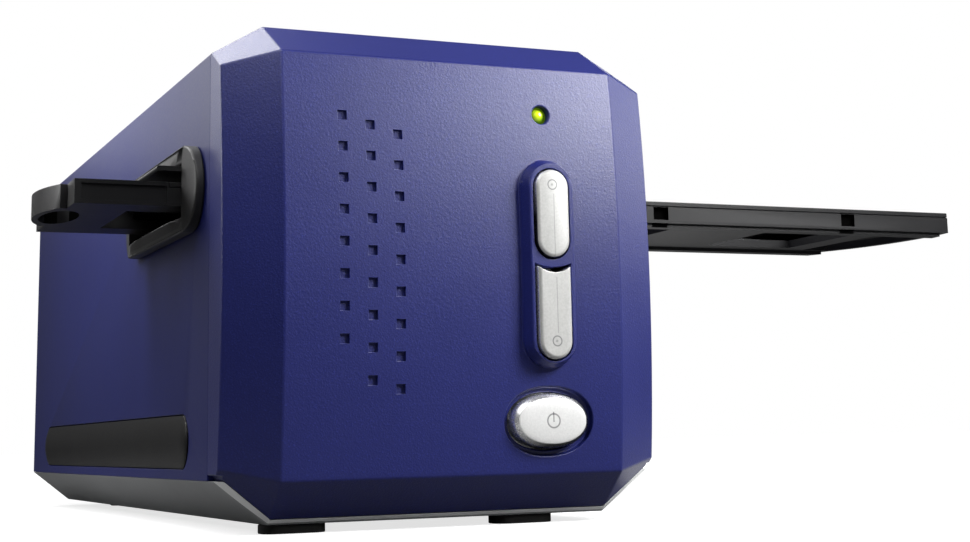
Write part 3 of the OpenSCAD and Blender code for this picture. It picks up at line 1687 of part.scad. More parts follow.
base_tray();
main_cover();
front_bezel();
rear_panel();
mirror([1, 0, 0]) slot_guard();  // left_slot_guard
slot_guard();  // right_slot_guard
mirror([1, 0, 0]) dust_flap();  // left_dust_flap
right_flap();  // right_dust_flap
mirror([1, 0, 0]) side_strip();  // left_side_strip
side_strip();  // right_side_strip
rubber_feet();
case_screws();
status_lens();
status_led();
button_board();
push_switches();
scan_button_upper();
scan_button_lower();
power_button();
film_gate();
gate_cover();
detent_spring();
front_rod_bracket();
rear_rod_bracket();
guide_rod(-1);  // left_guide_rod
guide_rod(1);  // right_guide_rod
carriage_sled();
carriage_bushes();
carriage_arm();
lamp_housing();
lamp_tube();
lamp_diffuser();
mirror_plate();  // mirror
lens_barrel();
front_lens();
rear_lens();
sensor_board();
image_sensor();
lead_screw();
drive_nut();
screw_bearing();
stepper_motor();
main_board();
usb_socket();
power_jack();
lamp_inverter();
home_sensor();
holder_frame();
holder_top_plate();
slide_springs();
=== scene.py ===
import bpy, bmesh, math
from mathutils import Matrix, Vector


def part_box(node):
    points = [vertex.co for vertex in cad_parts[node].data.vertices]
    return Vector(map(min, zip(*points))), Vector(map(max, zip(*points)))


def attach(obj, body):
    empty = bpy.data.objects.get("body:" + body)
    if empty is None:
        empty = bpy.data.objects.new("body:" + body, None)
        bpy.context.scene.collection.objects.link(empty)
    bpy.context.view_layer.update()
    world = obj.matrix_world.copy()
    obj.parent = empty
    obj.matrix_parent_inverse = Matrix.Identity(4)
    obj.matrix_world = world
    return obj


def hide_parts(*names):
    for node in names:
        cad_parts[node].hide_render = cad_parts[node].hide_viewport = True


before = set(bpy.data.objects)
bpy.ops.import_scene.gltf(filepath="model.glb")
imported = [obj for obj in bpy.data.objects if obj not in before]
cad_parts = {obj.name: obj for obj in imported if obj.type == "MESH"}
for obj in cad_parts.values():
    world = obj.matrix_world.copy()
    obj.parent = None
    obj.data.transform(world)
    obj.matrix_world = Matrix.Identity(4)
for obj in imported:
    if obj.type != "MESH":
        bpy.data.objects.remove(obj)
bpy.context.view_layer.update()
scene = bpy.context.scene
mm = 0.001
print("frame loaded")


class Wire:  # a socket that can be added, multiplied and compared
    def __init__(self, graph, socket):
        self.graph, self.socket = graph, socket

    def calc(self, how, *values, clamp=False):
        settings = {"operation": how, "use_clamp": clamp}
        return self.graph.add("Math", settings, dict(enumerate(values)))

    def __add__(self, other): return self.calc("ADD", self, other)
    def __radd__(self, other): return self.calc("ADD", other, self)
    def __sub__(self, other): return self.calc("SUBTRACT", self, other)
    def __rsub__(self, other): return self.calc("SUBTRACT", other, self)
    def __mul__(self, other): return self.calc("MULTIPLY", self, other)
    def __rmul__(self, other): return self.calc("MULTIPLY", other, self)
    def __truediv__(self, other): return self.calc("DIVIDE", self, other)
    def __rtruediv__(self, other): return self.calc("DIVIDE", other, self)
    def __pow__(self, other): return self.calc("POWER", self, other)
    def __rpow__(self, other): return self.calc("POWER", other, self)
    def __gt__(self, other): return self.calc("GREATER_THAN", self, other)
    def __lt__(self, other): return self.calc("LESS_THAN", self, other)
    def __abs__(self): return self.calc("ABSOLUTE", self)
    def limited(self): return self.calc("ADD", self, 0.0, clamp=True)
    def folded(self, step): return self.calc("PINGPONG", self, step)


class Graph:  # one node tree; every node comes from add
    def __init__(self, tree):
        self.tree = tree
        tree.nodes.clear()

    def add(self, kind, settings=None, sockets=None, out=0):
        node = self.tree.nodes.new("ShaderNode" + kind)
        for key, value in (settings or {}).items():
            setattr(node, key, value)
        for key, value in (sockets or {}).items():
            if isinstance(value, Wire):
                self.tree.links.new(value.socket, node.inputs[key])
            else:
                node.inputs[key].default_value = value
        return Wire(self, node.outputs[out]) if len(node.outputs) else None


def linear(hexCode):
    parts = [int(hexCode[i:i + 2], 16) / 255 for i in (0, 2, 4)]
    return (*[p / 12.92 if p <= 0.04045 else ((p + 0.055) / 1.055) ** 2.4 for p in parts], 1)


def grey(level):
    return level, level, level, 1


class Finish(Graph):  # a material whose patterns stay in place on the piece
    def __init__(self, name):
        self.material = bpy.data.materials.new(name)
        self.material.use_nodes = True
        super().__init__(self.material.node_tree)
        self.place = self.add("TexCoord", out="Object")

    def axis(self, letter):
        return self.add("SeparateXYZ", {}, {0: self.place}, out=letter)

    def away(self, x, z):  # distance from a line that runs front to back
        dx, dz = self.axis("X") - x, self.axis("Z") - z
        return (dx * dx + dz * dz) ** 0.5

    def noise(self, size, detail=2.0, rough=0.5, stretch=(1, 1, 1)):
        spot = self.add("Mapping", {}, {"Vector": self.place, "Scale": stretch})
        sockets = {"Vector": spot, "Scale": 1 / size, "Detail": detail, "Roughness": rough}
        return self.add("TexNoise", {}, sockets)

    def cells(self, size):
        return self.add("TexVoronoi", {}, {"Vector": self.place, "Scale": 1 / size})

    def ramp(self, value, low, high):
        sockets = {"Value": value, "From Min": low, "From Max": high}
        return self.add("MapRange", {"clamp": True}, sockets)

    def blend(self, factor, low, high):  # tones are hex codes, colours or links
        low, high = (linear(tone) if isinstance(tone, str) else tone for tone in (low, high))
        return self.add("Mix", {"data_type": "RGBA"}, {0: factor, 6: low, 7: high}, out=2)

    def bump(self, height, depth, strength):
        sockets = {"Height": height, "Distance": depth, "Strength": strength}
        return self.add("Bump", {}, sockets)

    def surface(self, hollow=None, **values):
        sockets = {}
        for key, value in values.items():
            label = "".join(" " + c if c.isupper() else c for c in key)
            label = label[0].upper() + label[1:]
            label = {"Specular": "Specular IOR Level", "Ior": "IOR"}.get(label, label)
            sockets[label] = value
        shader = self.add("BsdfPrincipled", {}, sockets)
        # painted shade: the inside of holes is painted matt black
        if hollow:  # the inside of holes is matt and black
            dark = self.add("BsdfDiffuse", {}, {"Color": linear("050505")})
            shader = self.add("MixShader", {}, {0: hollow, 1: shader, 2: dark})
        self.add("OutputMaterial", {}, {"Surface": shader})
        return self.material


# housing mouldings: shares of slow cloud, fine grit and pale specks in the tone; the pale specks
# are painted glints
blueGrain = {"cloud": 38 * mm, "cloudShare": 0.35, "gritShare": 0.3, "speckShare": 0.6,
             "speck": (0.56, 0.72), "gritDull": 0.14, "cloudDull": 0.05,
             "gritRelief": 0.7, "pitRelief": 0.3}
coverGrain = {**blueGrain, "size": 0.4 * mm, "pits": 0.6 * mm, "depth": 0.04 * mm,
              "strength": 0.4, "gloss": 0.34, "shine": 0.3, "deep": "12174d", "light": "1b2364"}
panelGrain = {**blueGrain, "size": 0.36 * mm, "pits": 0.55 * mm, "depth": 0.085 * mm,
              "strength": 0.75, "gloss": 0.29, "shine": 0.42, "deep": "12174f", "light": "222a74"}


def blueMoulding(name, grain):
    f = Finish(name)
    cloud = f.noise(grain["cloud"], 3)
    grit = f.noise(grain["size"], 3, 0.6)
    pits = f.cells(grain["pits"])
    # painted highlight: pale specks stand in for glints on the fine grain
    speck = f.ramp(grit, *grain["speck"])
    tone = cloud * grain["cloudShare"] + grit * grain["gritShare"] + speck * grain["speckShare"]
    height = grit * grain["gritRelief"] + pits * grain["pitRelief"]
    dull = grain["gloss"] + grain["gritDull"] * grit + grain["cloudDull"] * cloud
    return f.surface(baseColor=f.blend(tone.limited(), grain["deep"], grain["light"]),
                     roughness=dull, specular=grain["shine"],
                     normal=f.bump(height, grain["depth"], grain["strength"]))


# lower tray: in front of the lip it is smoother, not metal, and painted pale as a painted
# highlight
trayGrain = {"lip": -122.6 * mm, "size": 0.25 * mm, "cloud": 30 * mm, "gritShare": 0.5,
             "cloudShare": 0.4, "deep": "8c8f92", "light": "c0c2c4", "polished": "f4f5f5",
             "gloss": 0.34, "gritDull": 0.1, "lipGloss": 0.08, "metal": 0.25, "shine": 0.5,
             "depth": 0.02 * mm, "strength": 0.4}


def silverTray(name, grain):
    f = Finish(name)
    lip = f.axis("Y") < grain["lip"]
    grit = f.noise(grain["size"], 2)
    cloud = f.noise(grain["cloud"], 3)
    share = grit * grain["gritShare"] + cloud * grain["cloudShare"]
    tone = f.blend(share, grain["deep"], grain["light"])
    # painted highlight: the front lip is painted near white
    return f.surface(baseColor=f.blend(lip, tone, grain["polished"]),
                     roughness=grain["gloss"] + grain["gritDull"] * grit - grain["lipGloss"] * lip,
                     metallic=grain["metal"] - grain["metal"] * lip, specular=grain["shine"],
                     normal=f.bump(grit, grain["depth"], grain["strength"]))


# black mouldings; the holder's finger hole and detent notches are painted matt black as painted
# shade
satinGrain = {"detail": 2, "cloud": 22 * mm, "gritShare": 0.4, "cloudShare": 0.4,
              "deep": "0c0c0d", "gritDull": 0.12, "cloudDull": 0.06, "shine": 0.35,
              "depth": 0.02 * mm, "strength": 0.5}
innerGrain = {**satinGrain, "light": "1b1b1c", "size": 0.35 * mm, "depth": 0.03 * mm,
              "gloss": 0.38}
guardGrain = {**satinGrain, "light": "2a2a2b", "size": 0.5 * mm, "gloss": 0.4}
flapGrain = {**satinGrain, "light": "161617", "size": 0.3 * mm, "gloss": 0.42}
stripGrain = {**satinGrain, "light": "111112", "size": 0.5 * mm, "depth": 0.03 * mm,
              "gloss": 0.34, "shine": 0.2}
holderGrain = {**satinGrain, "deep": "0b0b0c", "light": "1f1f21", "size": 0.4 * mm,
               "detail": 3, "cloud": 24 * mm, "cloudShare": 0.5, "gloss": 0.34, "shine": 0.24,
               "hole": (-82.5 * mm, -74.0 * mm), "holeHalf": (4.6 * mm, 12.6 * mm),
               "notchX": 136.0 * mm, "notchStep": 61.5 * mm, "notchHalf": 2.4 * mm,
               "notchStart": -100.95 * mm, "notchEnd": -99.3 * mm}


# painted shade: a mask of the holder's finger hole and detent notches
def paintedHollowShade(f, form):
    x, y = f.axis("X"), f.axis("Y")
    (holeX, holeY), (halfX, halfY) = form["hole"], form["holeHalf"]
    away = ((x - holeX) / halfX) ** 2 + ((y - holeY) / halfY) ** 2
    apart = (x - form["notchX"]).folded(form["notchStep"] / 2)
    notch = (apart < form["notchHalf"]) * (y < form["notchEnd"]) * (y > form["notchStart"])
    return ((away < 1.0) + notch).limited()


def satinBlack(name, grain):
    f = Finish(name)
    grit = f.noise(grain["size"], grain["detail"], 0.6)
    cloud = f.noise(grain["cloud"], 3)
    share = grit * grain["gritShare"] + cloud * grain["cloudShare"]
    dull = grain["gloss"] + grain["gritDull"] * grit + grain["cloudDull"] * cloud
    return f.surface(hollow=paintedHollowShade(f, grain) if "hole" in grain else None,
                     baseColor=f.blend(share, grain["deep"], grain["light"]),
                     roughness=dull, specular=grain["shine"],
                     normal=f.bump(grit, grain["depth"], grain["strength"]))


# keys: a pale face with a fine ring, a dot and a hairline, and chromed sides that carry a painted
# reflection
keyMarks = {
    "grain": 0.45 * mm, "low": "a2a2a0", "high": "c3c3c1",  # the face
    "gloss": 0.34, "gritDull": 0.12, "metal": 0.15, "shine": 0.5, "coat": 0.15,
    "coatGloss": 0.12, "gritRelief": 0.4, "depth": 0.03 * mm, "strength": 0.4,
    "face": -140.15 * mm, "side": (0.38 * mm, 0.56 * mm),  # the chrome starts behind the face
    # painted reflection on the chrome sides: a dark painted shade tone, a white painted highlight
    # tone, and the tilt and its ends along which one turns into the other
    "chromeShade": "303133", "chrome": "fbfbfb", "tilt": (0.6, 0.8),
    "tiltEnds": (-3.6 * mm, 4.2 * mm), "sideGloss": 0.12, "sideMetal": 0.7,
    "ink": "5c5d5f", "radius": 1.15 * mm, "stroke": 0.22 * mm,  # the marks
    "ringSoft": 0.4, "ringDark": 0.75, "lean": 0.3 * mm, "lineSoft": (0.25, 0.75),
    "lineDark": 0.45, "dot": 0.1 * mm, "dotEnds": (0.2 * mm, 0.42 * mm), "dotDark": 0.5,
    "cutRelief": 0.6,
}
upperMarks = {**keyMarks, "ring": (22.7 * mm, 79.8 * mm), "line": (70.0 * mm, 7.6 * mm)}
lowerMarks = {**keyMarks, "ring": (22.9 * mm, 42.5 * mm), "line": (51.0 * mm, 6.6 * mm)}
powerMarks = {**keyMarks, "ring": (22.9 * mm, 24.0 * mm), "line": (24.9 * mm, 1.2 * mm),
              "radius": 1.6 * mm, "stroke": 0.26 * mm, "lean": 0.0, "lineDark": 0.8,
              "dotDark": 0.0, "face": -137.02 * mm, "low": "cbcbca", "high": "e8e8e7"}


def keySilver(name, marks):
    f = Finish(name)
    grit = f.noise(marks["grain"], 3, 0.6)
    x, y, z = f.axis("X"), f.axis("Y"), f.axis("Z")
    ringX, ringZ = marks["ring"]
    middle, half = marks["line"]
    stroke = marks["stroke"]
    side = f.ramp(y, *[marks["face"] + depth for depth in marks["side"]])
    # painted reflection: the chrome sides go from a painted highlight at the upper left to painted
    # shade at the lower right
    across, upwards = marks["tilt"]
    tilt = f.ramp((z - ringZ) * upwards - (x - ringX) * across, *marks["tiltEnds"])
    chrome = f.blend(tilt, marks["chromeShade"], marks["chrome"])  # darker to the lower right
    base = f.blend(side, f.blend(grit, marks["low"], marks["high"]), chrome)
    soft = stroke * marks["ringSoft"]
    ring = 1.0 - f.ramp(abs(f.away(ringX, ringZ) - marks["radius"]), soft, stroke)
    soft = [stroke * share for share in marks["lineSoft"]]
    hair = 1.0 - f.ramp(abs(x - ringX - marks["lean"]), *soft)
    dot = 1.0 - f.ramp(f.away(ringX - marks["dot"], ringZ), *marks["dotEnds"])
    line = hair * (abs(z - middle) < half)
    cut = ring * marks["ringDark"] + line * marks["lineDark"] + dot * marks["dotDark"]
    cut = cut.limited() * (1 - side)
    height = grit * marks["gritRelief"] * (1 - side) - cut * marks["cutRelief"]
    dull = marks["gloss"] + marks["gritDull"] * grit - marks["sideGloss"] * side
    return f.surface(baseColor=f.blend(cut, base, marks["ink"]), roughness=dull,
                     metallic=marks["metal"] + marks["sideMetal"] * side, specular=marks["shine"],
                     coatWeight=marks["coat"], coatRoughness=marks["coatGloss"],
                     normal=f.bump(height, marks["depth"], marks["strength"]))


lensGlow = {"spot": (22.6 * mm, 98.2 * mm), "radius": 1.8 * mm, "speck": 0.5 * mm,
            "speckShare": 0.25, "rim": "3f7405", "core": "cfe81e", "rimGlow": "2f5c04",
            "coreGlow": "c3dc1c", "glow": 0.45, "gloss": 0.12, "coreDull": 0.1,
            "coat": 0.6, "coatGloss": 0.05}


def limeLens(name, form):  # brightest at the middle of the lamp
    f = Finish(name)
    core = 1.0 - f.ramp(f.away(*form["spot"]), 0.0, form["radius"])
    speck = f.noise(form["speck"], 2)
    share = (core + form["speckShare"] * speck).limited()
    return f.surface(baseColor=f.blend(share, form["rim"], form["core"]),
                     roughness=form["gloss"] + form["coreDull"] * core,
                     coatWeight=form["coat"], coatRoughness=form["coatGloss"],
                     emissionStrength=form["glow"],
                     emissionColor=f.blend(share, form["rimGlow"], form["coreGlow"]))


boardForm = {"weave": 260.0, "trace": 90.0, "gap": 0.03, "weaveShare": 0.3, "traceShare": 0.5,
             "deep": "0c4a20", "light": "14612c", "copper": "2f8a4a", "gloss": 0.35,
             "weaveDull": 0.1, "shine": 0.5, "depth": 0.03 * mm, "strength": 0.4}


def circuitBoard(name, form):
    f = Finish(name)
    weave = f.add("TexWave", {"wave_type": "BANDS", "bands_direction": "Z"},
                  {"Vector": f.place, "Scale": form["weave"]})
    trace = f.add("TexBrick", {}, {"Vector": f.place, "Scale": form["trace"],
                                   "Mortar Size": form["gap"]}, out="Fac")
    base = f.blend(weave * form["weaveShare"], form["deep"], form["light"])
    return f.surface(baseColor=f.blend(trace * form["traceShare"], base, form["copper"]),
                     roughness=form["gloss"] + form["weaveDull"] * weave, specular=form["shine"],
                     normal=f.bump(trace, form["depth"], form["strength"]))


# finishes in which one pattern gives the tones, the gloss and its spread, and the relief
plainForms = {
    "rubber": {"name": "footRubber", "noise": (0.4 * mm, 3, 0.7), "tones": ("0d0d0d", "232323"),
               "gloss": (0.7, 0.15), "relief": (0.05 * mm, 0.6), "specular": 0.3},
    "bright": {"name": "brightSteel", "noise": (0.6 * mm, 3, 0.6), "tones": ("8f9194", "c9cbce"),
               "gloss": (0.16, 0.12), "relief": (0.01 * mm, 0.3), "metallic": 1.0},
    "brushed": {"name": "brushedSteel", "noise": (0.6 * mm, 3, 0.6, (1, 12, 1)),
                "tones": ("8f9194", "a9abad"), "gloss": (0.28, 0.12),
                "relief": (0.01 * mm, 0.3), "metallic": 1.0},
    "bronze": {"name": "sinteredBronze", "cells": 0.4 * mm, "tones": ("8a6a36", "c79c56"),
               "gloss": (0.35, 0.15), "relief": (0.02 * mm, 0.4), "metallic": 1.0},
    "glass": {"name": "lensGlass", "noise": (12 * mm, 2), "tones": ("cfdcf4", "dfe9ff"),
              "gloss": (0.02, 0.02), "transmissionWeight": 0.9, "ior": 1.52, "alpha": 0.6},
    "mirror": {"name": "frontMirror", "noise": (8 * mm, 2), "tones": ("dfe4e6", "f4f6f7"),
               "gloss": (0.02, 0.02), "metallic": 1.0},
    "milk": {"name": "milkWhite", "noise": (5 * mm, 2), "tones": ("e6e6e2", "f6f6f3"),
             "gloss": (0.3, 0.1), "subsurfaceWeight": 0.2},
    "ceramic": {"name": "sensorCeramic", "noise": (0.5 * mm, 3), "tones": ("2b2730", "3d3845"),
                "gloss": (0.5, 0.1)},
}


def plainFinish(name, tones, gloss, noise=None, cells=None, relief=None, **shader):
    f = Finish(name)
    grain = f.noise(*noise) if noise else f.cells(cells)
    if relief:
        shader["normal"] = f.bump(grain, *relief)
    return f.surface(baseColor=f.blend(grain, *tones), roughness=gloss[0] + gloss[1] * grain,
                     **shader)


looks = {
    "cover": blueMoulding("coverBlue", coverGrain),
    "panel": blueMoulding("panelBlue", panelGrain),
    "tray": silverTray("traySilver", trayGrain),
    "black": satinBlack("satinBlack", innerGrain),
    "guard": satinBlack("guardBlack", guardGrain),
    "holder": satinBlack("holderBlack", holderGrain),
    "flap": satinBlack("flapBlack", flapGrain),
    "strip": satinBlack("stripBlack", stripGrain),
    "upperKey": keySilver("upperKeySilver", upperMarks),
    "lowerKey": keySilver("lowerKeySilver", lowerMarks),
    "powerKey": keySilver("powerKeySilver", powerMarks),
    "lime": limeLens("limeLens", lensGlow),
    "board": circuitBoard("greenBoard", boardForm),
}
looks.update({look: plainFinish(**form) for look, form in plainForms.items()})
nodeLooks = {
    "base_tray": "tray", "main_cover": "cover", "front_bezel": "panel", "rear_panel": "black",
    "left_slot_guard": "guard", "right_slot_guard": "guard", "left_dust_flap": "flap",
    "right_dust_flap": "flap", "left_side_strip": "strip", "right_side_strip": "strip",
    "rubber_feet": "rubber", "case_screws": "brushed", "status_lens": "lime",
    "status_led": "milk", "button_board": "board", "push_switches": "black",
    "scan_button_upper": "upperKey", "scan_button_lower": "lowerKey",
    "power_button": "powerKey", "film_gate": "black", "gate_cover": "black",
    "detent_spring": "bright", "front_rod_bracket": "brushed", "rear_rod_bracket": "brushed",
    "left_guide_rod": "bright", "right_guide_rod": "bright", "carriage_sled": "black",
    "carriage_bushes": "bronze", "carriage_arm": "black", "lamp_housing": "black",
    "lamp_tube": "milk", "lamp_diffuser": "milk", "mirror": "mirror", "lens_barrel": "black",
    "front_lens": "glass", "rear_lens": "glass", "sensor_board": "board",
    "image_sensor": "ceramic", "lead_screw": "brushed", "drive_nut": "milk",
    "screw_bearing": "black", "stepper_motor": "brushed", "main_board": "board",
    "usb_socket": "bright", "power_jack": "black", "lamp_inverter": "board",
    "home_sensor": "black", "holder_frame": "holder", "holder_top_plate": "holder",
    "slide_springs": "bright",
}
for node, look in nodeLooks.items():
    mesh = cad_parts[node].data
    mesh.materials.clear()
    mesh.materials.append(looks[look])
print("finishes made")


meshRules = {"merge": 2e-6, "cut": 1e-7, "flat": 0.4, "sharp": 32}  # metres, then degrees


def asPiece(name, bm, look, body, stands):
    mesh = bpy.data.meshes.new(name)
    bm.to_mesh(mesh)
    bm.free()
    mesh.materials.append(looks[look])
    piece = bpy.data.objects.new(name, mesh)
    scene.collection.objects.link(piece)
    mesh.shade_smooth()
    mesh.set_sharp_from_angle(angle=math.radians(meshRules["sharp"]))
    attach(piece, body)
    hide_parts(*stands)
    return piece


def mergedCopy(node):
    bm = bmesh.new()
    bm.from_mesh(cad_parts[node].data)
    for layer in list(bm.loops.layers.float_vector.values()):
        bm.loops.layers.float_vector.remove(layer)
    bmesh.ops.remove_doubles(bm, verts=bm.verts, dist=meshRules["merge"])
    bmesh.ops.dissolve_limit(bm, angle_limit=math.radians(meshRules["flat"]), verts=bm.verts,
                             edges=bm.edges)
    return bm


def cutAcross(bm, depth, clearFront=False):
    everything = bm.verts[:] + bm.edges[:] + bm.faces[:]
    bmesh.ops.bisect_plane(bm, geom=everything, dist=meshRules["cut"], plane_co=(0, depth, 0),
                           plane_no=(0, 1, 0), clear_inner=clearFront)


def roundEdges(bm, edges, width, segments, clamp):
    bmesh.ops.bevel(bm, geom=edges, offset=width, offset_type="OFFSET", affect="EDGES",
                    segments=segments, profile=0.5, material=-1, clamp_overlap=clamp)


def softEdges(piece, form):
    edge = piece.modifiers.new("softEdges", "BEVEL")
    edge.width, edge.segments = form["edge"], form["segments"]
    edge.limit_method, edge.angle_limit = "ANGLE", math.radians(form["angle"])
    edge.use_clamp_overlap = form["clamp"]
    edge.harden_normals = True


def softened(node, name, look, body, form):
    softEdges(asPiece(name, mergedCopy(node), look, body, [node]), form)


# front cap: its panel is bowed about a level axis far behind it
capForm = {
    "bow": 412.294 * mm, "axisY": 276.294 * mm, "axisZ": 60 * mm,
    "flatHalf": 42.5 * mm, "reach": 0.09 * mm, "along": 0.9996,  # which points are on the bow
    "facing": -0.6, "strip": 2.4 * mm, "snap": 0.02 * mm,
    "angle": 24, "edge": 0.4 * mm, "segments": 3, "fineEdge": 0.1 * mm, "fineSegments": 2,
    "keyX": 22.9 * mm, "keyHalf": 5.1 * mm, "keyRange": (36 * mm, 86 * mm),
    "dimpleEnd": -10 * mm, "dimpleHalf": 32 * mm, "dimpleRange": (25 * mm, 100 * mm),
    "rearRim": -117.6 * mm, "weight": 60,
}


def isFine(edge, form):  # edges of the openings, the dimples and the rear rim stay crisp
    spot = (edge.verts[0].co + edge.verts[1].co) / 2
    low, high = form["keyRange"]
    openings = abs(spot.x - form["keyX"]) < form["keyHalf"] and low < spot.z < high
    low, high = form["dimpleRange"]
    field = spot.x < form["dimpleEnd"] and abs(spot.x) < form["dimpleHalf"]
    return openings or (field and low < spot.z < high) or spot.y > form["rearRim"]


def cutPanel(bm, height, form):  # a level cut through the faces at the front
    faces = [face for face in bm.faces if face.normal.y < form["facing"]]
    edges = dict.fromkeys(edge for face in faces for edge in face.edges)
    verts = dict.fromkeys(vert for face in faces for vert in face.verts)
    bmesh.ops.bisect_plane(bm, geom=[*faces, *edges, *verts], dist=form["snap"],
                           plane_co=(0, 0, height), plane_no=(0, 0, 1))


def frontCap(form):
    bm = mergedCopy("front_bezel")
    sharp = math.radians(form["angle"])
    for fine in (True, False):
        corners = [edge for edge in bm.edges if edge.is_manifold
                   and edge.calc_face_angle() > sharp and isFine(edge, form) == fine]
        width, segments = ("fineEdge", "fineSegments") if fine else ("edge", "segments")
        roundEdges(bm, corners, form[width], form[segments], False)
    low, high = (corner[2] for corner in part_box("front_bezel"))
    count = int((high - low) / form["strip"])
    for step in range(1, count):  # so that the panel can follow its bow
        cutPanel(bm, low + (high - low) * step / count, form)
    bm.normal_update()
    for vert in bm.verts:
        dy, dz = form["axisY"] - vert.co.y, vert.co.z - form["axisZ"]
        way = Vector((0, -dy, dz)).normalized()
        onPanel = any(face.normal.dot(way) > form["along"] for face in vert.link_faces)
        near = abs(math.hypot(dy, dz) - form["bow"]) < form["reach"]
        if onPanel and near and abs(vert.co.x) < form["flatHalf"]:
            vert.co.y = form["axisY"] - math.sqrt(form["bow"] * form["bow"] - dz * dz)
    piece = asPiece("frontCap", bm, "panel", "housing", ["front_bezel"])
    level = piece.modifiers.new("flatFaces", "WEIGHTED_NORMAL")
    level.mode, level.weight, level.keep_sharp = "FACE_AREA", form["weight"], True


frontCap(capForm)

coverForm = {"edge": 0.16 * mm, "segments": 3, "angle": 24, "clamp": False}
softened("main_cover", "coverShell", "cover", "housing", coverForm)
trayForm = {"edge": 0.2 * mm, "segments": 3, "angle": 24, "clamp": False}
softened("base_tray", "trayShell", "tray", "housing", trayForm)
guardForm = {"edge": 0.5 * mm, "segments": 4, "angle": 40, "clamp": False}
for side in ("left", "right"):
    softened(side + "_slot_guard", side + "Guard", "guard", "housing", guardForm)

# side strips: over the length of fall their ends sink to a low share of the full height
stripForm = {"wall": 55 * mm, "fall": 5.0 * mm, "low": 0.25,
             "cuts": (0.5, 1.1, 1.9, 2.9, 4.0, 5.2, 6.6, 8.2)}


def pillowStrip(side, form):
    node = side + "_side_strip"
    bm = mergedCopy(node)
    low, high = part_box(node)
    middle, radius = (low[2] + high[2]) / 2, (high[2] - low[2]) / 2
    for cut in form["cuts"]:
        for end in (low[1] + cut * mm, high[1] - cut * mm):
            cutAcross(bm, end)
    for vert in bm.verts:
        proud = abs(vert.co.x) - form["wall"]
        if proud > 0:
            inset = radius - math.sqrt(max(0.0, radius ** 2 - (vert.co.z - middle) ** 2))
            near = min(vert.co.y - low[1], high[1] - vert.co.y) - inset
            share = min(1.0, max(0.0, near / form["fall"]))
            rise = form["low"] + (1 - form["low"]) * math.sqrt(1 - (1 - share) ** 2)
            vert.co.x = math.copysign(form["wall"] + proud * rise, vert.co.x)
    asPiece(side + "Strip", bm, "strip", "housing", [node])


pillowStrip("left", stripForm)
pillowStrip("right", stripForm)

footForm = {"corner": 3.4 * mm, "cornerSegments": 8, "upright": 0.99,
            "edge": 0.2 * mm, "segments": 2, "angle": 40, "clamp": False}


def roundedFeet(form):
    bm = mergedCopy("rubber_feet")
    upright = [edge for edge in bm.edges
               if abs((edge.verts[0].co - edge.verts[1].co).normalized().z) > form["upright"]]
    roundEdges(bm, upright, form["corner"], form["cornerSegments"], True)
    softEdges(asPiece("rubberFeet", bm, "rubber", "housing", ["rubber_feet"]), form)


roundedFeet(footForm)
print("housing dressed")

holderForm = {"edge": 0.25 * mm, "segments": 2, "angle": 24, "clamp": True}
softened("holder_frame", "holderBody", "holder", "holder", holderForm)
softened("holder_top_plate", "holderPlate", "holder", "holder", holderForm)
print("holder dressed")

scanForm = {"edge": 0.3 * mm, "segments": 3, "angle": 24, "clamp": False}
softened("scan_button_upper", "upperKey", "upperKey", "upper_button", scanForm)
softened("scan_button_lower", "lowerKey", "lowerKey", "lower_button", scanForm)

# power key: rings from its straight side to its crown, as half length, half height and
# depth behind the crown in millimetres
powerForm = {
    "x": 22.9 * mm, "z": 24.0 * mm, "half": (9.8, 6.35), "cut": 2.0,
    "rings": ((9.72, 6.27, 1.62), (9.45, 6.0, 1.2), (8.95, 5.52, 0.62), (8.72, 5.3, 0.42),
              (8.4, 5.05, 0.32), (7.2, 4.3, 0.19), (5.4, 3.2, 0.09), (3.4, 2.0, 0.03),
              (1.5, 0.9, 0.01)),
}


def powerKey(form):
    bm = mergedCopy("power_button")
    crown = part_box("power_button")[0][1]
    cutAcross(bm, crown + form["cut"] * mm, clearFront=True)
    rim = [edge for edge in bm.edges if edge.is_boundary]
    a, b = form["half"]
    for wide, tall, deep in form["rings"]:
        grown = bmesh.ops.extrude_edge_only(bm, edges=rim)["geom"]
        rim = [item for item in grown if isinstance(item, bmesh.types.BMEdge) and item.is_boundary]
        for vert in {vert for edge in rim for vert in edge.verts}:
            vert.co.x = form["x"] + (vert.co.x - form["x"]) * wide / a
            vert.co.z = form["z"] + (vert.co.z - form["z"]) * tall / b
            vert.co.y = crown + deep * mm
        a, b = wide, tall
    bmesh.ops.contextual_create(bm, geom=rim)
    bmesh.ops.recalc_face_normals(bm, faces=bm.faces)
    asPiece("powerKey", bm, "powerKey", "power_key", ["power_button"])


powerKey(powerForm)
print("keys dressed")

studio = {
    "eye": (-151.148, -498.222, 20.254),  # millimetres
    "right": (0.913954, -0.405166, -0.022989),
    "up": (-0.052548, -0.174328, 0.983285),
    "focal": 1675.426, "centre": (500.35, 130.40), "image": (970, 542),  # pixels
    "sensor": 36, "clip": (0.01, 30),
}
cameraData = bpy.data.cameras.new("studioCamera")
camera = bpy.data.objects.new("studioCamera", cameraData)
scene.collection.objects.link(camera)
rightWay, upWay = Vector(studio["right"]).normalized(), Vector(studio["up"]).normalized()
turn = Matrix((rightWay, upWay, rightWay.cross(upWay))).transposed()
camera.matrix_world = Matrix.Translation(Vector(studio["eye"]) * mm) @ turn.to_4x4()
wide, high = studio["image"]
cameraData.sensor_width = studio["sensor"]
cameraData.lens = studio["focal"] * studio["sensor"] / wide
cameraData.shift_x = (wide / 2 - studio["centre"][0]) / wide
cameraData.shift_y = (studio["centre"][1] - high / 2) / wide
cameraData.clip_start, cameraData.clip_end = studio["clip"]
scene.camera = camera

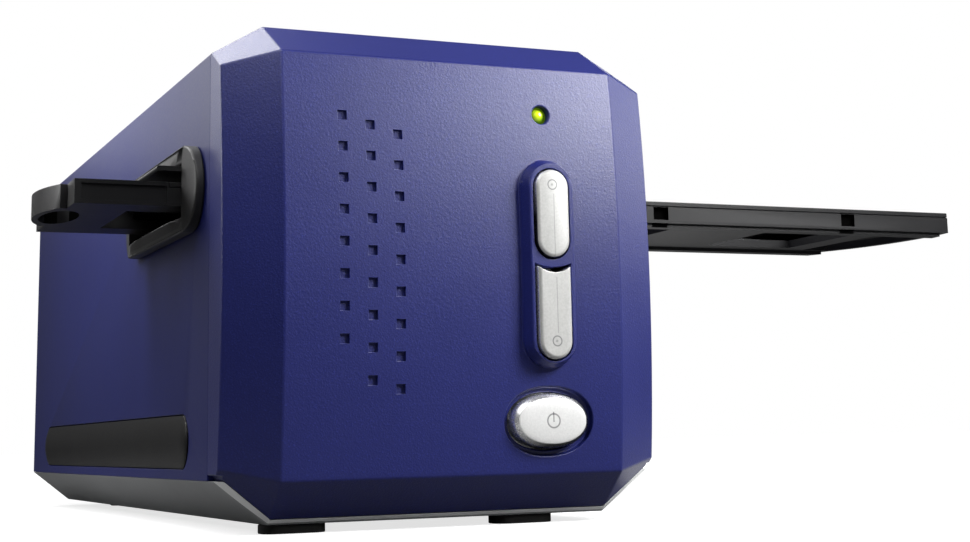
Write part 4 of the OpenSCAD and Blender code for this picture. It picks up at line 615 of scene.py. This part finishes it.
lamps = {  # place, aim, size and power of each soft box
    "leftStrip": ((-0.14, 0.0, 0.21), (-0.055, -0.01, 0.1), (0.06, 0.3), 0.8),
    "leftBack": ((-0.3, 0.4, 0.45), (-0.055, 0.05, 0.1), (0.3, 0.3), 0.35),
    "leftRake": ((-0.125, 0.265, 0.2), (-0.055, -0.08, 0.1), (0.06, 0.1), 0.065),
    "topNear": ((-0.11, -0.22, 0.26), (-0.02, -0.13, 0.1), (0.16, 0.16), 0.45),
    "sheen": ((0.185, -0.303, 0.21), (0.03, -0.13, 0.09), (0.12, 0.12), 1.5),
    "rightMid": ((1.0, 0.0, 0.35), (0.05, -0.1, 0.08), (0.35, 0.25), 1.8),
    "frontRightHigh": ((0.75, -0.95, 0.75), (0.03, -0.12, 0.09), (0.7, 0.4), 1.3),
    "rearFill": ((0.4, 0.8, 0.4), (0, 0.13, 0.06), (0.4, 0.3), 2.5),
    "floorCard": ((0.12, -0.02, 0.002), (0.12, -0.02, 1.0), (0.12, 0.22), 0.09),
}


def softBox(name, spot, aim, size, power):
    data = bpy.data.lights.new(name, "AREA")
    data.shape, data.size, data.size_y, data.energy = "RECTANGLE", size[0], size[1], power
    lamp = bpy.data.objects.new(name, data)
    lamp.visible_camera = False
    scene.collection.objects.link(lamp)
    lamp.location = spot
    lamp.rotation_euler = (Vector(aim) - Vector(spot)).to_track_quat("-Z", "Y").to_euler()


for name, values in lamps.items():
    softBox(name, *values)

# white all round for the camera, a dim room for everything else
room = {"white": 1.0, "dim": 0.055, "inGloss": 0.08}
world = bpy.data.worlds.new("studioWorld")
scene.world = world
world.use_nodes = True
sky = Graph(world.node_tree)
seen = sky.add("LightPath", out="Is Camera Ray") + sky.add("LightPath", out="Is Transmission Ray")
seen = (seen + sky.add("LightPath", out="Is Glossy Ray") * room["inGloss"]).limited()
level = seen * (room["white"] - room["dim"]) + room["dim"]
back = sky.add("Background", {}, {"Color": grey(1), "Strength": level})
sky.add("OutputWorld", {}, {"Surface": back})

# pale floor: it glows white for the camera and still takes the shadow
ground = {"half": 6.0, "pale": 0.5, "bounce": 0.18, "glow": 0.74, "near": 0.25, "far": 0.8}
floorMesh = bpy.data.meshes.new("studioFloor")
bm = bmesh.new()
bmesh.ops.create_grid(bm, x_segments=1, y_segments=1, size=ground["half"])
bm.to_mesh(floorMesh)
bm.free()
floor = bpy.data.objects.new("studioFloor", floorMesh)
scene.collection.objects.link(floor)
paleFloor = Finish("paleFloor")
toCamera = paleFloor.add("LightPath", out="Is Camera Ray")
shade = paleFloor.blend(toCamera, grey(ground["bounce"]), grey(ground["pale"]))
matt = paleFloor.add("BsdfDiffuse", {}, {"Color": shade})
distance = (paleFloor.axis("X") ** 2 + paleFloor.axis("Y") ** 2) ** 0.5
distance = paleFloor.ramp(distance, ground["near"], ground["far"])
level = toCamera * (distance * (1 - ground["glow"]) + ground["glow"])
glow = paleFloor.add("Emission", {}, {"Color": grey(1), "Strength": level})
both = paleFloor.add("AddShader", {}, {0: matt, 1: glow})
paleFloor.add("OutputMaterial", {}, {"Surface": both})
floorMesh.materials.append(paleFloor.material)
scene.view_settings.view_transform = "Standard"
print("studio set")
